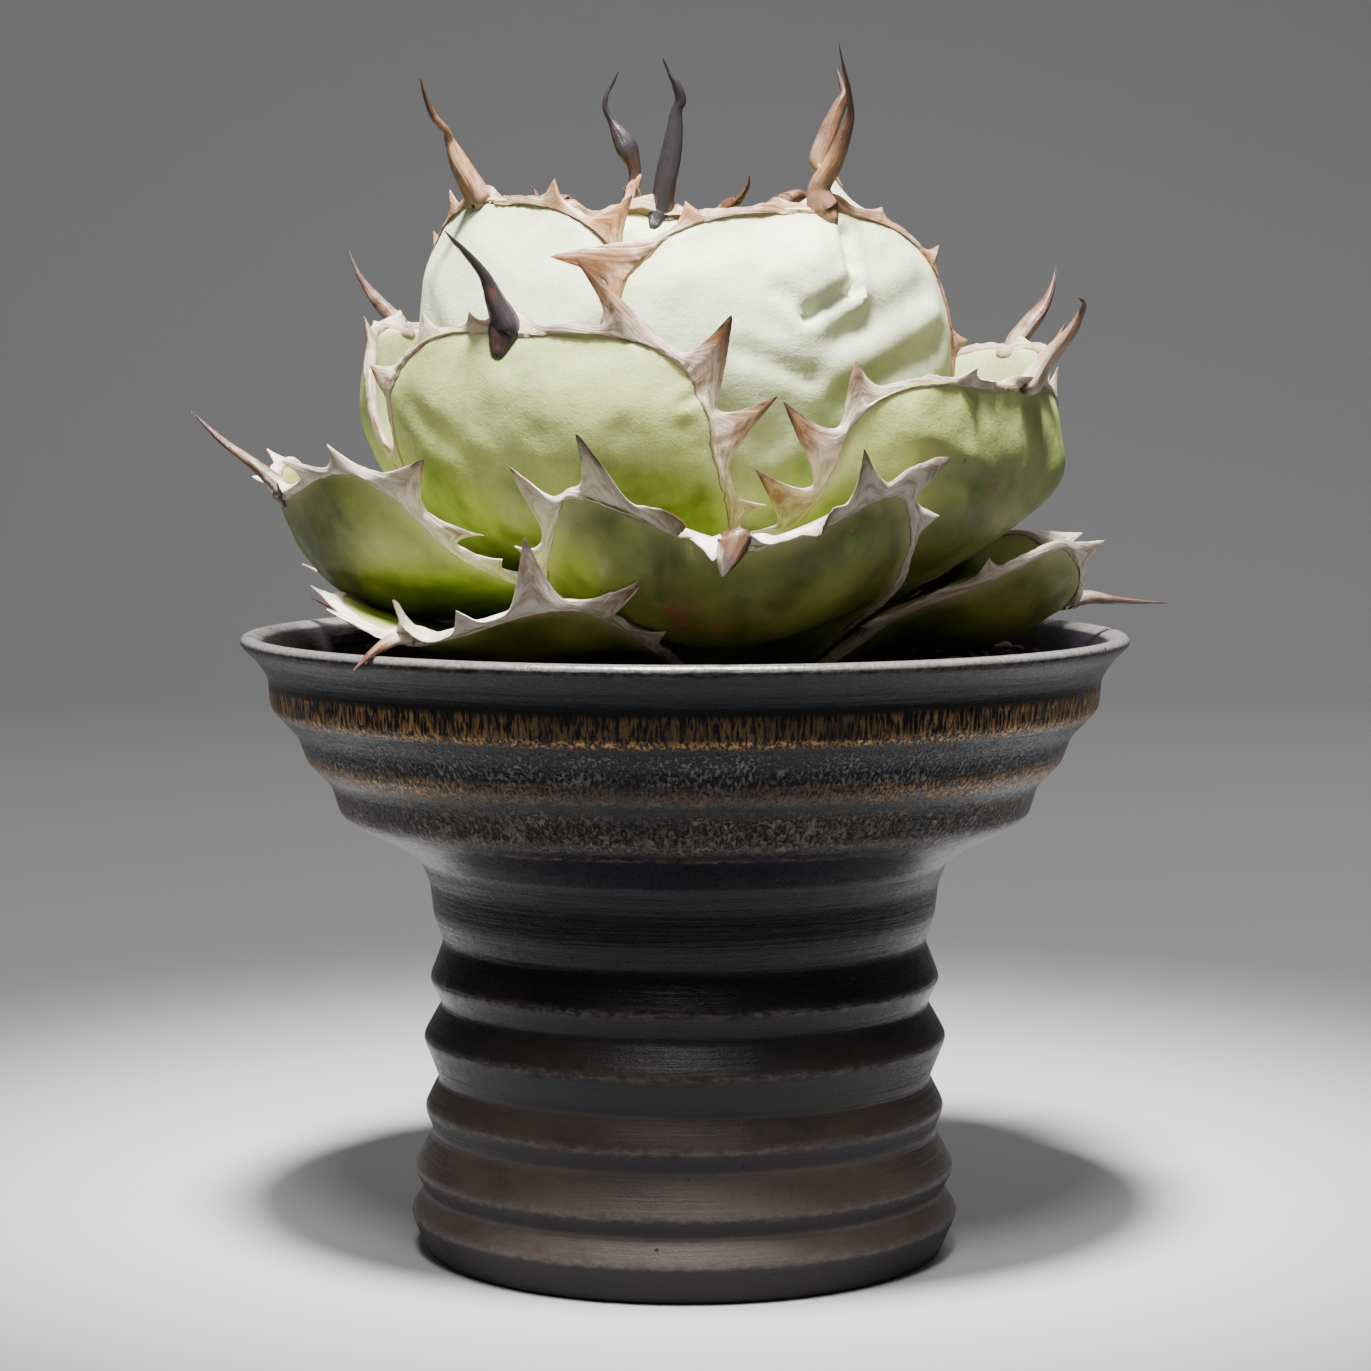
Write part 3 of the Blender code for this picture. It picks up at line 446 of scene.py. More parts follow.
# Mesh helpers
def newPiece(name, points, faces, values, finish, replaced, sharp=60):
    mesh = bpy.data.meshes.new(name)
    mesh.from_pydata([tuple(p) for p in np.asarray(points) * mm], [], faces)
    mesh.validate()
    mesh.shade_smooth()
    mesh.set_sharp_from_angle(angle=math.radians(sharp))
    for label, numbers in values.items():
        layer = mesh.attributes.new(label, "FLOAT", "POINT")
        layer.data.foreach_set("value", np.asarray(numbers, np.float32))
    mesh.materials.append(materials[finish])
    piece = bpy.data.objects.new(name, mesh)
    bpy.context.scene.collection.objects.link(piece)
    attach(piece, "root")
    if replaced:
        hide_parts(replaced)


def gridFaces(rows, columns, first=0, wrap=False, flip=False):
    # quads of a grid of rows x columns points, columns joined round if wrap
    faces = []
    for k in range(rows - 1):
        for j in range(columns if wrap else columns - 1):
            here, beside = first + k * columns + j, first + k * columns + (j + 1) % columns
            quad = (here, beside, beside + columns, here + columns)
            faces.append(quad[::-1] if flip else quad)
    return faces


def tubeFaces(rings, sides):
    # rings joined to a tube, with a cap on each end
    last = (rings - 1) * sides
    return gridFaces(rings, sides, wrap=True) + [tuple(range(sides))[::-1], tuple(range(last, last + sides))]


def turnedOut(points, faces):
    # the faces of a closed body, turned over where they look inward
    triangles = np.array([(face[0], face[n], face[n + 1]) for face in faces for n in range(1, len(face) - 1)])
    first, second, third = np.asarray(points)[triangles].transpose(1, 0, 2)
    inward = (np.cross(first, second) * third).sum() < 0
    return [face[::-1] for face in faces] if inward else faces


def splineWeights(knots, places):
    # weights of the knots' values for a smooth curve through them, read at the places
    knots = np.asarray(knots, float)
    places = np.clip(np.asarray(places, float), knots[0], knots[-1])
    count = len(knots)
    steps = np.diff(knots)
    secants = np.zeros((count - 1, count))
    for k in range(count - 1):
        secants[k, k], secants[k, k + 1] = -1 / steps[k], 1 / steps[k]
    slopes = np.zeros((count, count))
    slopes[0], slopes[-1] = secants[0], secants[-1]
    for k in range(1, count - 1):
        slopes[k] = (steps[k - 1] * secants[k] + steps[k] * secants[k - 1]) / (steps[k - 1] + steps[k])
    k = np.clip(np.searchsorted(knots, places, side="right") - 1, 0, count - 2)
    t = ((places - knots[k]) / steps[k])[:, None]
    weights = steps[k][:, None] * ((t**3 - 2 * t**2 + t) * slopes[k] + (t**3 - t**2) * slopes[k + 1])
    each = np.arange(len(places))
    weights[each, k] += (2 * t**3 - 3 * t**2 + 1)[:, 0]
    weights[each, k + 1] += (3 * t**2 - 2 * t**3)[:, 0]
    return weights


def unit(vectors):
    return vectors / np.maximum(np.linalg.norm(vectors, axis=-1, keepdims=True), 1e-12)


def roundSteps(count):
    return np.arange(count) * 2 * math.pi / count


def runAlong(points):
    # the way covered along a row of points
    return np.concatenate([[0], np.cumsum(np.linalg.norm(np.diff(points, axis=0), axis=1))])


def noiseAt(places):
    return np.array([noise.noise(Vector(place)) for place in places])


def lumps(points, size, seed):
    # soft noise in -1..1 over points in mm
    return np.array([noise.noise(Vector(p) / size + Vector((seed, 0, 0))) for p in points])


def ease(x, low, high):
    t = np.clip((np.asarray(x, float) - low) / (high - low), 0, 1)
    return t * t * (3 - 2 * t)


def hills(x, y, radius):
    return np.exp(-(x**2 + y**2) / radius**2)


# Rosette: the rules that the solids' leaves follow, read here at a finer step
rosette = {
    "goldenAngle": 137.508, "oldestAzimuth": 178.0, "lowestBase": 118.6, "baseStep": 0.85, "baseRadius": 10.8,
    "rows": (0, 0.16, 0.32, 0.47, 0.61, 0.74, 0.85, 0.94, 1), "columns": (-1, -0.68, -0.34, 0, 0.34, 0.68, 1),
    "leavingSlope": -9, "leavingLift": 3, "leavingHandle": 0.54, "arrivingHandle": 0.47,
    "widestAt": 0.6, "baseWidthShare": 0.42, "ribSteps": 60, "footMargin": 0.4,
    "packedTaper": (3.2, 0.62, 3.2), "fullTaper": (4.4, 0.5, 5.5),  # power, roundness, half width at the tip
    "alongSteps": 70, "acrossSteps": 60, "tipCrowding": 1.7, "matchWithin": 3e-4,
    "bladeGap": 0.35, "mostRaise": 4.0, "raiseFrom": (0.12, 0.3), "spreadTurns": 4, "blurTurns": 6,
    "plump": 2.2, "plumpWithin": 8.0, "plumpFrom": (0.35, 0.75), "creaseLip": 0.45, "creaseLipAt": 1.9,
    "lumps": ((1.0, 15, 0), (0.30, 6.0, 3), (0.07, 2.2, 5)),  # height, size, step of the seed
    "bloomRise": (0.5, 0.95),
}
# turn, radius and height of the tip, slope there, half width, rise of the shoulders, teeth a side,
# then the end spine's slope and lean, as in the solids, oldest leaf first
leafRows = [
    (0, 75, 119.5, 12, 28, 8, 3, 4, 0),
    (5, 75, 119.5, 14, 29, 8, 3, -4, -14),
    (0, 72, 119.5, 20, 28, 12, 3, 4, 4),
    (0, 76, 119.5, 12, 28, 8, 3, 0, 0),
    (0, 71, 134, 55, 33, 26, 3, 2, 0),
    (0, 73, 135, 55, 31, 14, 3, 25, 5),
    (0, 77, 142.5, 60, 31, 15, 3, 40, -4),
    (-2, 69, 163.5, 86, 34, 2, 3, 58, -6),
    (0, 70, 160, 76, 31, 4, 3, 48, 5),
    (-3, 62, 171.5, 92, 34, 4, 3, 55, -24),
    (0, 71, 168, 78, 31, 2, 3, 58, -5),
    (0, 60, 172.5, 90, 31, 2, 3, 55, 6),
    (-4, 52, 190, 98, 37, 6, 3, 80, -4),
    (0, 52, 181, 92, 31, 2, 3, 42, 6),
    (7, 46, 191, 98, 36, 7, 3, 70, -12),
    (0, 31, 198, 116, 27, 0, 3, 78, 8),
    (0, 38, 189, 104, 27, 0, 3, 40, 0),
    (0, 25, 191, 110, 25, 0, 3, 88, -3),
    (0, 28, 190, 106, 22, 0, 3, 40, 4),
    (0, 14, 197, 104, 19, 0, 2, 90, 2),
    (0, 11, 188, 98, 15, 0, 2, 60, -4),
]
# last fitting of the visible leaves over the solids' rules: turn, lift of the tip (degrees), swell of the tip
# (share), further rise of the shoulders (degrees), how far right of the middle the end spine stands (mm), and
# for some how much wider the blade is (share)
leafTrim = {
    2: (0, 2, 0.0, 5.5, 1.5),
    4: (0, 2, 0.0, -8, -1.6),
    6: (5, 1, 0.0, -1.5, -1, 0.15),
    7: (-2.5, 0, 0.0, 7, 7, 0.12),
    8: (0, 2, 0.0, 2, 0),
    9: (0, 1.5, 0.0, 2, -3),
    10: (0, 2, 0.0, 4, 0),
    11: (0, 2, 0.0, 4, 0),
    12: (1, 5, 0.0, 0, 5),
    13: (0, 4, 0.0, 0, 0),
    14: (-2, 6, 0.03, 0, -5),
    15: (0, 6, 0.04, 0, 0),
    16: (0, 7, 0.08, 0, 0),
    17: (0, 5, 0.05, 0, 0),
    18: (0, 7, 0.10, 0, 0),
    19: (0, 6, 0.06, 0, 0),
    20: (0, 6, 0.10, 0, 0),
}
# bloom at the foot and at the tip, age marks, paleness of the horn, burn of its spine
leafLooks = [
    (0.10, 0.20, 0.80, 0.80, 0.35),
    (0.08, 0.15, 0.80, 0.88, 0.30),
    (0.12, 0.28, 0.70, 0.80, 0.60),
    (0.10, 0.20, 0.80, 0.75, 0.45),
    (0.02, 0.22, 0.70, 0.92, 0.72),
    (0.10, 0.30, 0.60, 0.70, 0.45),
    (0.04, 0.24, 0.60, 0.80, 0.55),
    (0.06, 0.62, 0.40, 0.50, 0.35),
    (0.20, 0.50, 0.40, 0.50, 0.45),
    (0.04, 0.62, 0.35, 0.45, 1.00),
    (0.30, 0.60, 0.30, 0.40, 0.50),
    (0.30, 0.60, 0.30, 0.40, 0.50),
    (0.25, 0.95, 0.15, 0.10, 0.50),
    (0.50, 0.85, 0.15, 0.20, 0.50),
    (0.85, 0.99, 0.10, 0.10, 0.42),
    (0.60, 0.85, 0.10, 0.20, 0.50),
    (0.60, 0.85, 0.10, 0.20, 0.50),
    (0.40, 0.55, 0.05, 0.10, 1.30),
    (0.50, 0.70, 0.05, 0.10, 0.60),
    (0.35, 0.50, 0.00, 0.10, 1.00),
    (0.35, 0.50, 0.00, 0.10, 0.60),
]
# bumps and dents of single leaves: mm to the right of the midrib, mm below the tip, radius, height
leafBumps = {
    4: ((-20, 3, 3.4, 0.9), (-8, 4, 3.2, 0.9), (16, 8, 6, 0.5), (30, 10, 4, -0.5)),
    6: ((-16, 12, 5, -0.5), (10, 14, 6, 0.5)),
    7: ((-3, 17, 1.1, -0.4), (-6, 16, 0.9, -0.35), (2, 18, 0.9, -0.35), (-20, 22, 8, -0.6)),
    9: ((18, 17, 2, -0.45), (4, 16, 2.2, -0.4), (29, 18, 2, -0.45), (-18, 26, 8, 0.5)),
    12: ((0.5, 9, 5.4, 3.4), (14, 30, 9, -0.6), (-20, 34, 9, 0.5)),
    14: ((-10, 20, 8, 0.5), (14, 26, 7, -0.4)),
}
# creases: mm right and below of both ends, width, depth
leafCreases = {
    4: ((-13, -2, -12, 12, 1.5, 0.8), (22, 2, 23, 9, 1.2, 0.5)),
    6: ((-2, 10, 12, 20, 2.0, 0.4),),
    7: ((-20, 15, -7, 17, 2.2, 0.6), (8, 8, 16, 22, 2.5, 0.4)),
    9: ((29, 14, 38, 9, 1.0, 0.5), (-24, 14, -10, 22, 2.4, 0.4), (8, 26, 24, 30, 2.6, 0.35)),
    12: ((7.5, 4, 7.2, 12, 1.2, 1.2), (7.2, 12, -2, 16, 1.2, 1.3), (-2, 16, -7, 12, 1.2, 0.7),
         (-14, 21, -1, 25, 1.5, 0.7), (4, 19, 24, 12, 2.3, 0.9), (6, 28, 28, 20, 2.5, 0.8),
         (16, 6, 26, 24, 0.8, 0.3), (-24, 28, -8, 36, 2.6, 0.5)),
    14: ((-18, 14, -4, 22, 2.2, 0.4),),
}
# red-brown scabs: mm right and below, radius
leafScabs = {4: ((-9, 15, 5.0), (-5, 17, 3.5)), 7: ((-2, 17, 2.2),), 1: ((10, 8, 1.6),), 6: ((8, 6, 1.8),)}


def layOutLeaf(index):
    rules = rosette
    turn, tipR, tipZ, slope, halfWidth, shoulder, teeth, spineSlope, spineLean = leafRows[index]
    base = np.array([rules["baseRadius"], rules["lowestBase"] + rules["baseStep"] * index])
    tip = np.array([tipR, tipZ], float)
    chord = np.linalg.norm(tip - base)
    rise = math.radians(slope)
    leaving = math.radians(rules["leavingSlope"] + rules["leavingLift"] * math.sin(rise))
    first = base + np.array([math.cos(leaving), math.sin(leaving)]) * chord * rules["leavingHandle"]
    second = tip - np.array([math.cos(rise), math.sin(rise)]) * chord * rules["arrivingHandle"]
    leaf = {
        "index": index, "midrib": (base, first, second, tip), "halfWidth": halfWidth,
        "shoulder": math.radians(shoulder), "teeth": teeth, "spineSlope": math.radians(spineSlope),
        "spineLean": math.radians(spineLean), "taper": rules["packedTaper"], "lift": 0.0, "swell": 0.0,
    }
    leaf["length"] = runAlong(ribAt(leaf, np.linspace(0, 1, rules["ribSteps"])))[-1]
    azimuth = rules["oldestAzimuth"] + rules["goldenAngle"] * index + turn
    turnLeaf(leaf, azimuth)
    readDistances(leaf)

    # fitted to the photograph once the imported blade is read
    turn, lift, swell, rise, shift, *wider = leafTrim.get(index, (0, 0, 0, 0, 0))
    turnLeaf(leaf, azimuth + turn)
    leaf["shoulder"] += math.radians(rise)
    leaf["halfWidth"] *= 1 + sum(wider)
    leaf.update(taper=rules["fullTaper"], lift=math.radians(lift), swell=swell, spineShift=shift)
    return leaf


def turnLeaf(leaf, degrees):
    azimuth = math.radians(degrees)
    leaf["outward"] = np.array([math.sin(azimuth), -math.cos(azimuth), 0])
    leaf["across"] = np.array([math.cos(azimuth), math.sin(azimuth), 0])


def ribAt(leaf, u):
    a, b, c, d = leaf["midrib"]
    u = np.asarray(u, float)[:, None]
    back = 1 - u
    return a * back**3 + b * 3 * u * back**2 + c * 3 * u**2 * back + d * u**3


def halfWidthAt(leaf, u):
    rules = rosette
    power, roundness, tipHalfWidth = leaf["taper"]
    swelling = np.sin(np.pi / 2 * np.minimum(u / rules["widestAt"], 1))
    low = leaf["halfWidth"] * (rules["baseWidthShare"] + (1 - rules["baseWidthShare"]) * swelling)
    past = np.clip((u - rules["widestAt"]) / (1 - rules["widestAt"]), 0, 1)
    share = (1 - past**power) ** roundness
    high = tipHalfWidth + (leaf["halfWidth"] - tipHalfWidth) * share
    return np.where(u < rules["widestAt"], low, high)


def wayOf(leaf, u, v):
    # direction from the heart for places along and across the leaf
    rib = ribAt(leaf, u) - np.array([0, heart[2]])
    width = halfWidthAt(leaf, u)
    side = v * width / np.linalg.norm(rib, axis=1)
    spread = v * width / leaf["halfWidth"]
    elevation = np.arctan2(rib[:, 1], rib[:, 0]) + leaf["shoulder"] * spread**2 * u + leaf["lift"] * u**3
    up = np.array([0.0, 0, 1])
    meridian = leaf["outward"] * np.cos(elevation)[:, None] + up * np.sin(elevation)[:, None]
    return meridian * np.cos(side)[:, None] + leaf["across"] * np.sin(side)[:, None]


def nodePoints(node):
    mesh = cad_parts[node].data
    points = np.empty(len(mesh.vertices) * 3, np.float32)
    mesh.vertices.foreach_get("co", points)
    return points.reshape(-1, 3).astype(float) / mm


def readDistances(leaf):
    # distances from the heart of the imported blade's two faces, found by direction
    u, v = np.meshgrid(rosette["rows"], rosette["columns"], indexing="ij")
    ways = wayOf(leaf, u.ravel(), v.ravel())
    offsets = nodePoints(f"leaf_{leaf['index']:02d}") - heart
    reach = np.linalg.norm(offsets, axis=1)
    near = np.linalg.norm(ways[:, None] - (offsets / reach[:, None])[None], axis=2) < rosette["matchWithin"]
    leaf["outer"] = np.where(near, reach, 0).max(axis=1).reshape(u.shape)
    leaf["inner"] = np.where(near, reach, 1e3).min(axis=1).reshape(u.shape)


def facePoints(leaf, face, u, v):
    # points of a face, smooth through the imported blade's own
    alongWeights = splineWeights(rosette["rows"], u)
    acrossWeights = splineWeights(rosette["columns"], v)
    reach = np.einsum("nk,kj,nj->n", alongWeights, leaf[face], acrossWeights) * (1 + leaf["swell"] * u**3)
    return heart + wayOf(leaf, u, v) * (reach + raisedAt(leaf, u, v))[:, None]


def middlePoints(leaf, u, v):
    return (facePoints(leaf, "outer", u, v) + facePoints(leaf, "inner", u, v)) / 2


def raisedAt(leaf, u, v):
    # how much further out the blade lies there than its solid, read from its grid
    if "raised" not in leaf:
        return 0.0
    grid = leaf["raised"]
    row = (1 - (1 - u) ** (1 / rosette["tipCrowding"])) * (grid.shape[0] - 1)
    column = (v + 1) / 2 * (grid.shape[1] - 1)
    k = np.clip(row.astype(int), 0, grid.shape[0] - 2)
    j = np.clip(column.astype(int), 0, grid.shape[1] - 2)
    a, b = row - k, column - j
    near = grid[k, j] * (1 - b) + grid[k, j + 1] * b
    far = grid[k + 1, j] * (1 - b) + grid[k + 1, j + 1] * b
    return near * (1 - a) + far * a


def placeOn(leaf, u, v):
    # mm right of the midrib, below the tip and in from the rim
    width = halfWidthAt(leaf, u)
    right, below = v * width, (1 - u) * leaf["length"]
    return right, below, (1 - np.abs(v)) * width


def reliefOf(leaf, u, v, points):
    # folds, bumps, dents and creases of a leaf's outer face, in mm
    rules = rosette
    right, below, fromSide = placeOn(leaf, u, v)
    seed = 7.3 * leaf["index"]
    margin = np.minimum(fromSide, below)
    height = rules["plump"] * (1 - hills(margin, 0, rules["plumpWithin"])) * ease(u, *rules["plumpFrom"])
    for rise, size, step in rules["lumps"]:
        height += rise * lumps(points, size, seed + step)
    for x, y, radius, rise in leafBumps.get(leaf["index"], ()):
        height += rise * hills(right - x, below - y, radius)
    for x0, y0, x1, y1, width, depth in leafCreases.get(leaf["index"], ()):
        run = np.array([x1 - x0, y1 - y0])
        share = np.clip(((right - x0) * run[0] + (below - y0) * run[1]) / run.dot(run), 0, 1)
        gap = np.hypot(right - x0 - share * run[0], below - y0 - share * run[1])
        lip = rules["creaseLip"] * hills(gap - rules["creaseLipAt"] * width, 0, width)
        height += depth * (lip - hills(gap, 0, width))
    return height


def neighbours(grid):
    padded = np.pad(grid, 1, mode="edge")
    return [grid, padded[:-2, 1:-1], padded[2:, 1:-1], padded[1:-1, :-2], padded[1:-1, 2:]]


def raiseClear(cover, u, points, shape):
    # how much further out the blade goes so that it lies on the younger leaves and not in them
    rules = rosette
    offsets = points - heart
    distance = np.linalg.norm(offsets, axis=1)
    short = castReach(cover, offsets / distance[:, None]) + rules["bladeGap"] - distance
    short = np.clip(short, 0, rules["mostRaise"]).reshape(shape)
    for _ in range(rules["spreadTurns"]):
        short = np.maximum.reduce(neighbours(short))
    for _ in range(rules["blurTurns"]):
        short = np.mean(neighbours(short), axis=0)
    return short * ease(u, *rules["raiseFrom"]).reshape(shape)


def buildBlade(leaf, cover):
    rules = rosette
    rows, columns = rules["alongSteps"] + 1, rules["acrossSteps"] + 1
    along = 1 - (1 - np.linspace(0, 1, rows)) ** rules["tipCrowding"]
    u, v = [grid.ravel() for grid in np.meshgrid(along, np.linspace(-1, 1, columns), indexing="ij")]
    if cover is not None:
        leaf["raised"] = raiseClear(cover, u, facePoints(leaf, "inner", u, v), (rows, columns))
    outer = facePoints(leaf, "outer", u, v)
    inner = facePoints(leaf, "inner", u, v)
    outer += unit(outer - heart) * reliefOf(leaf, u, v, outer)[:, None]
    points = np.vstack([outer, inner])
    count = rows * columns
    faces = gridFaces(rows, columns) + gridFaces(rows, columns, first=count, flip=True)
    grid = np.arange(count).reshape(rows, columns)
    for edge in (grid[:, 0], grid[::-1, -1], grid[0, ::-1], grid[-1]):
        pairs = zip(edge.tolist(), edge[1:].tolist())
        faces += [(here, beside, count + beside, count + here) for here, beside in pairs]

    bloomFoot, bloomTip, age = leafLooks[leaf["index"]][:3]
    right, below, fromSide = placeOn(leaf, u, v)
    bloom = bloomFoot + (bloomTip - bloomFoot) * ease(u, *rules["bloomRise"])
    margin = np.minimum(fromSide, below + rules["footMargin"])
    scab = np.zeros(count)
    for x, y, radius in leafScabs.get(leaf["index"], ()):
        scab = np.maximum(scab, hills(right - x, below - y, radius))
    values = {"bloom": np.tile(bloom, 2), "margin": np.tile(margin, 2),
              "age": np.full(2 * count, age), "scab": np.concatenate([scab, np.zeros(count)])}
    number = f"{leaf['index']:02d}"
    newPiece("leafBlade_" + number, points, faces, values, "leaf", "leaf_" + number)
    leaf["ownTree"] = BVHTree.FromPolygons([Vector(p) for p in points], faces)
    coarse = grid[::2, ::2]
    return outer[coarse.ravel()], coarse.shape


# Horn margins: a corky ribbon wrapped on each blade's rim, with teeth, and the end spine with its keel
hornForm = {
    "rimSteps": 400, "tipSteps": 40, "rimCrowding": 2.2, "readInward": 6.0, "readBack": 5.0,
    "faceCentre": 0.62, "alongBlur": 4, "frameBlur": 5, "startShare": 0.14, "step": 0.55,
    "crowding": 2.4, "crowdSteps": 19, "closest": 0.035, "fadeOver": 7.0,
    # the ribbon's band over the rim and its lap on the blade: size, then steady, slow and fine share
    "band": 1.5, "bandWaves": (0.72, 0.45, 0.16), "leastBand": 0.45, "bandAtFoot": 0.25,
    "lap": 1.25, "lapWaves": (0.85, 0.5, -0.25), "lapAtFoot": 0.4,
    "wavePitch": 5.0, "finePitch": 1.4, "footSpread": 4.2, "footRise": 2.6, "footLap": 0.8,
    "frill": 0.45, "frillPitch": 2.1, "frillOver": 3.0, "flutter": 0.9, "flutterOver": 4.0, "bead": 0.18,
    "smallTooth": (4.5, 8.0), "toothFading": 0.3, "toothLean": 2.5, "firstTooth": 8.0, "firstToothAt": 0.55,
    "toothBase": 14.0, "baseShares": (0.5, 0.6), "baseUpTo": 12.0, "toothPower": 2.9, "toothSkew": 0.35,
    "skewOver": 4.0, "bendPower": 1.3, "toothOver": 5.0, "toothThinning": 0.35,
    # rows of points out from the rim, half thickness of each, and how far they may swing out
    "shares": (0.0, 0.3, 0.65, 1.0), "rootThickness": 0.28, "cordShare": 0.2, "cordThickness": 1.5,
    "cordTaper": 0.8, "edgeThickness": 0.34, "edgeRound": 0.12, "clearance": 0.35, "mostRaise": 7.0,
    "lapRows": ((1.0, 0.03), (0.5, 0.34)), "underShare": 0.6, "underGap": 0.1,
    "offs": (-1.0, -0.5, 0, 0.3, 0.65, 1, 1.02, 1, 0.65, 0.3, 0, -0.8),  # how far out a section's points are
    "edgeBurn": 0.16, "edgeFrom": (0.6, 1.0), "edgeLeast": 0.3, "pointBurn": 0.30, "pointFrom": (5.0, 11.0),
    "burnOver": 9.0, "lapBurn": 0.45, "lapFrom": -0.75, "spineBurn": 0.08,
    "toothTan": 0.42, "tanFrom": (1.5, 7.5), "tanOver": 6.0, "streaks": (4.0, 0.10),
}
# end spines: the keel's rings as share of its length down the leaf, width and height as shares of the radius
spineForm = {
    "sides": 14, "rings": 60, "rootAt": (1.2, 0.5), "radius": 2.1, "rootSwell": 1.15, "tipRadius": 0.16,
    "taper": 1.1, "sway": 0.07, "leaning": 0.06, "kink": 0.03, "routeFrom": 0.14, "routeSteps": 9,
    "stepExtra": 0.3,
    "swells": ((0.22, 0.42, 0.1), (-0.12, 0.62, 0.06)), "keelLength": 6.0,
    "keel": ((1.0, 0.28, 0.1), (0.82, 0.5, 0.3), (0.5, 0.72, 0.45), (0.15, 0.95, 0.6)),
    "rootFlat": 0.72, "flat": 0.86, "leastSideways": 0.3, "thinnest": 0.08,
    "ridges": 3, "ridgeHeight": 0.09, "spiral": (0.5, 0.9), "roughness": 0.10, "roughSize": 1.5,
    "burnPower": 1.4, "keelBurn": (0.10, 0.75, 0.3), "edgePower": 4, "bodyBurn": (0.06, 0.86),
    "tipBurn": (0.5, 0.3), "tipBurnFrom": (0.2, 1.0), "paleShares": (0.9, 0.8), "paleUpTo": 0.7,
    "streaks": 2.2,
}
# end spines that the front shows: keel down the face, radius at the root, then points right and up of the
# root with the radius there, all in mm; the last is the tip
spineForms = {
    1: (2.5, 1.6, ((-2.6, -0.2, 1.3), (-5.5, -1.9, 0.8), (-8.6, -4.8, 0.12))),
    2: (4.0, 2.0, ((3.8, 0.9, 1.5), (9.0, 0.4, 0.9), (14.6, 0.0, 0.45), (19.9, -0.2, 0.1))),
    4: (3.0, 3.1, ((-0.4, -1.0, 2.7), (-0.9, -2.3, 2.0), (-1.6, -3.8, 1.2), (-2.1, -5.2, 0.2))),
    6: (3.0, 2.2, ((-2.6, 2.4, 1.6), (-5.3, 4.6, 1.2), (-10.4, 8.3, 0.8), (-14.0, 11.6, 0.4),
                   (-16.8, 14.2, 0.1))),
    7: (7.0, 3.0, ((1.8, 3.0, 2.1), (4.3, 6.2, 1.7), (6.9, 9.3, 1.2), (8.5, 12.5, 0.7), (8.7, 14.1, 0.45),
                   (7.7, 15.0, 0.25), (6.6, 15.1, 0.1))),
    9: (6.4, 3.0, ((-1.9, 4.5, 1.85), (-3.5, 8.5, 1.1), (-6.2, 12.1, 0.7), (-8.5, 14.5, 0.4),
                   (-10.0, 16.2, 0.1))),
    10: (5.0, 2.4, ((2.5, 3.5, 2.0), (5.5, 7.2, 1.5), (7.4, 11.3, 0.7), (8.2, 15.2, 0.1))),
    11: (5.0, 2.2, ((-1.9, 2.1, 1.7), (-4.6, 5.0, 1.25), (-7.1, 8.5, 0.65), (-8.7, 11.6, 0.35),
                    (-9.6, 14.1, 0.1))),
    12: (5.5, 2.8, ((-0.9, 3.3, 2.05), (1.2, 7.0, 1.8), (3.0, 11.2, 1.45), (4.5, 15.4, 0.75),
                    (4.2, 19.4, 0.5), (3.1, 23.6, 0.28), (2.1, 27.8, 0.08))),
    14: (4.4, 3.0, ((-3.6, 6.3, 1.95), (-5.2, 10.2, 1.0), (-5.6, 11.8, 0.75), (-7.7, 14.2, 0.75),
                    (-9.1, 17.4, 0.45), (-9.9, 20.8, 0.1))),
    15: (4.0, 2.0, ((-1.3, 2.2, 2.1), (0.2, 6.9, 1.9), (2.4, 11.9, 1.5), (3.5, 14.5, 1.0), (2.8, 17.1, 0.5),
                    (2.0, 19.4, 0.1))),
    17: (4.0, 1.9, ((0.7, 4.2, 2.0), (1.6, 8.7, 1.95), (2.2, 13.2, 1.6), (2.7, 17.4, 1.05), (3.5, 19.5, 1.0),
                    (2.7, 22.0, 0.8), (1.4, 24.0, 0.35), (0.2, 26.6, 0.1))),
    19: (3.0, 1.2, ((0.4, 2.8, 1.4), (-0.9, 6.5, 2.35), (-1.9, 8.8, 2.0), (-3.7, 11.8, 0.85),
                    (-5.0, 14.4, 0.6), (-4.7, 16.8, 0.45), (-3.6, 18.9, 0.35), (-2.6, 21.0, 0.1))),
}
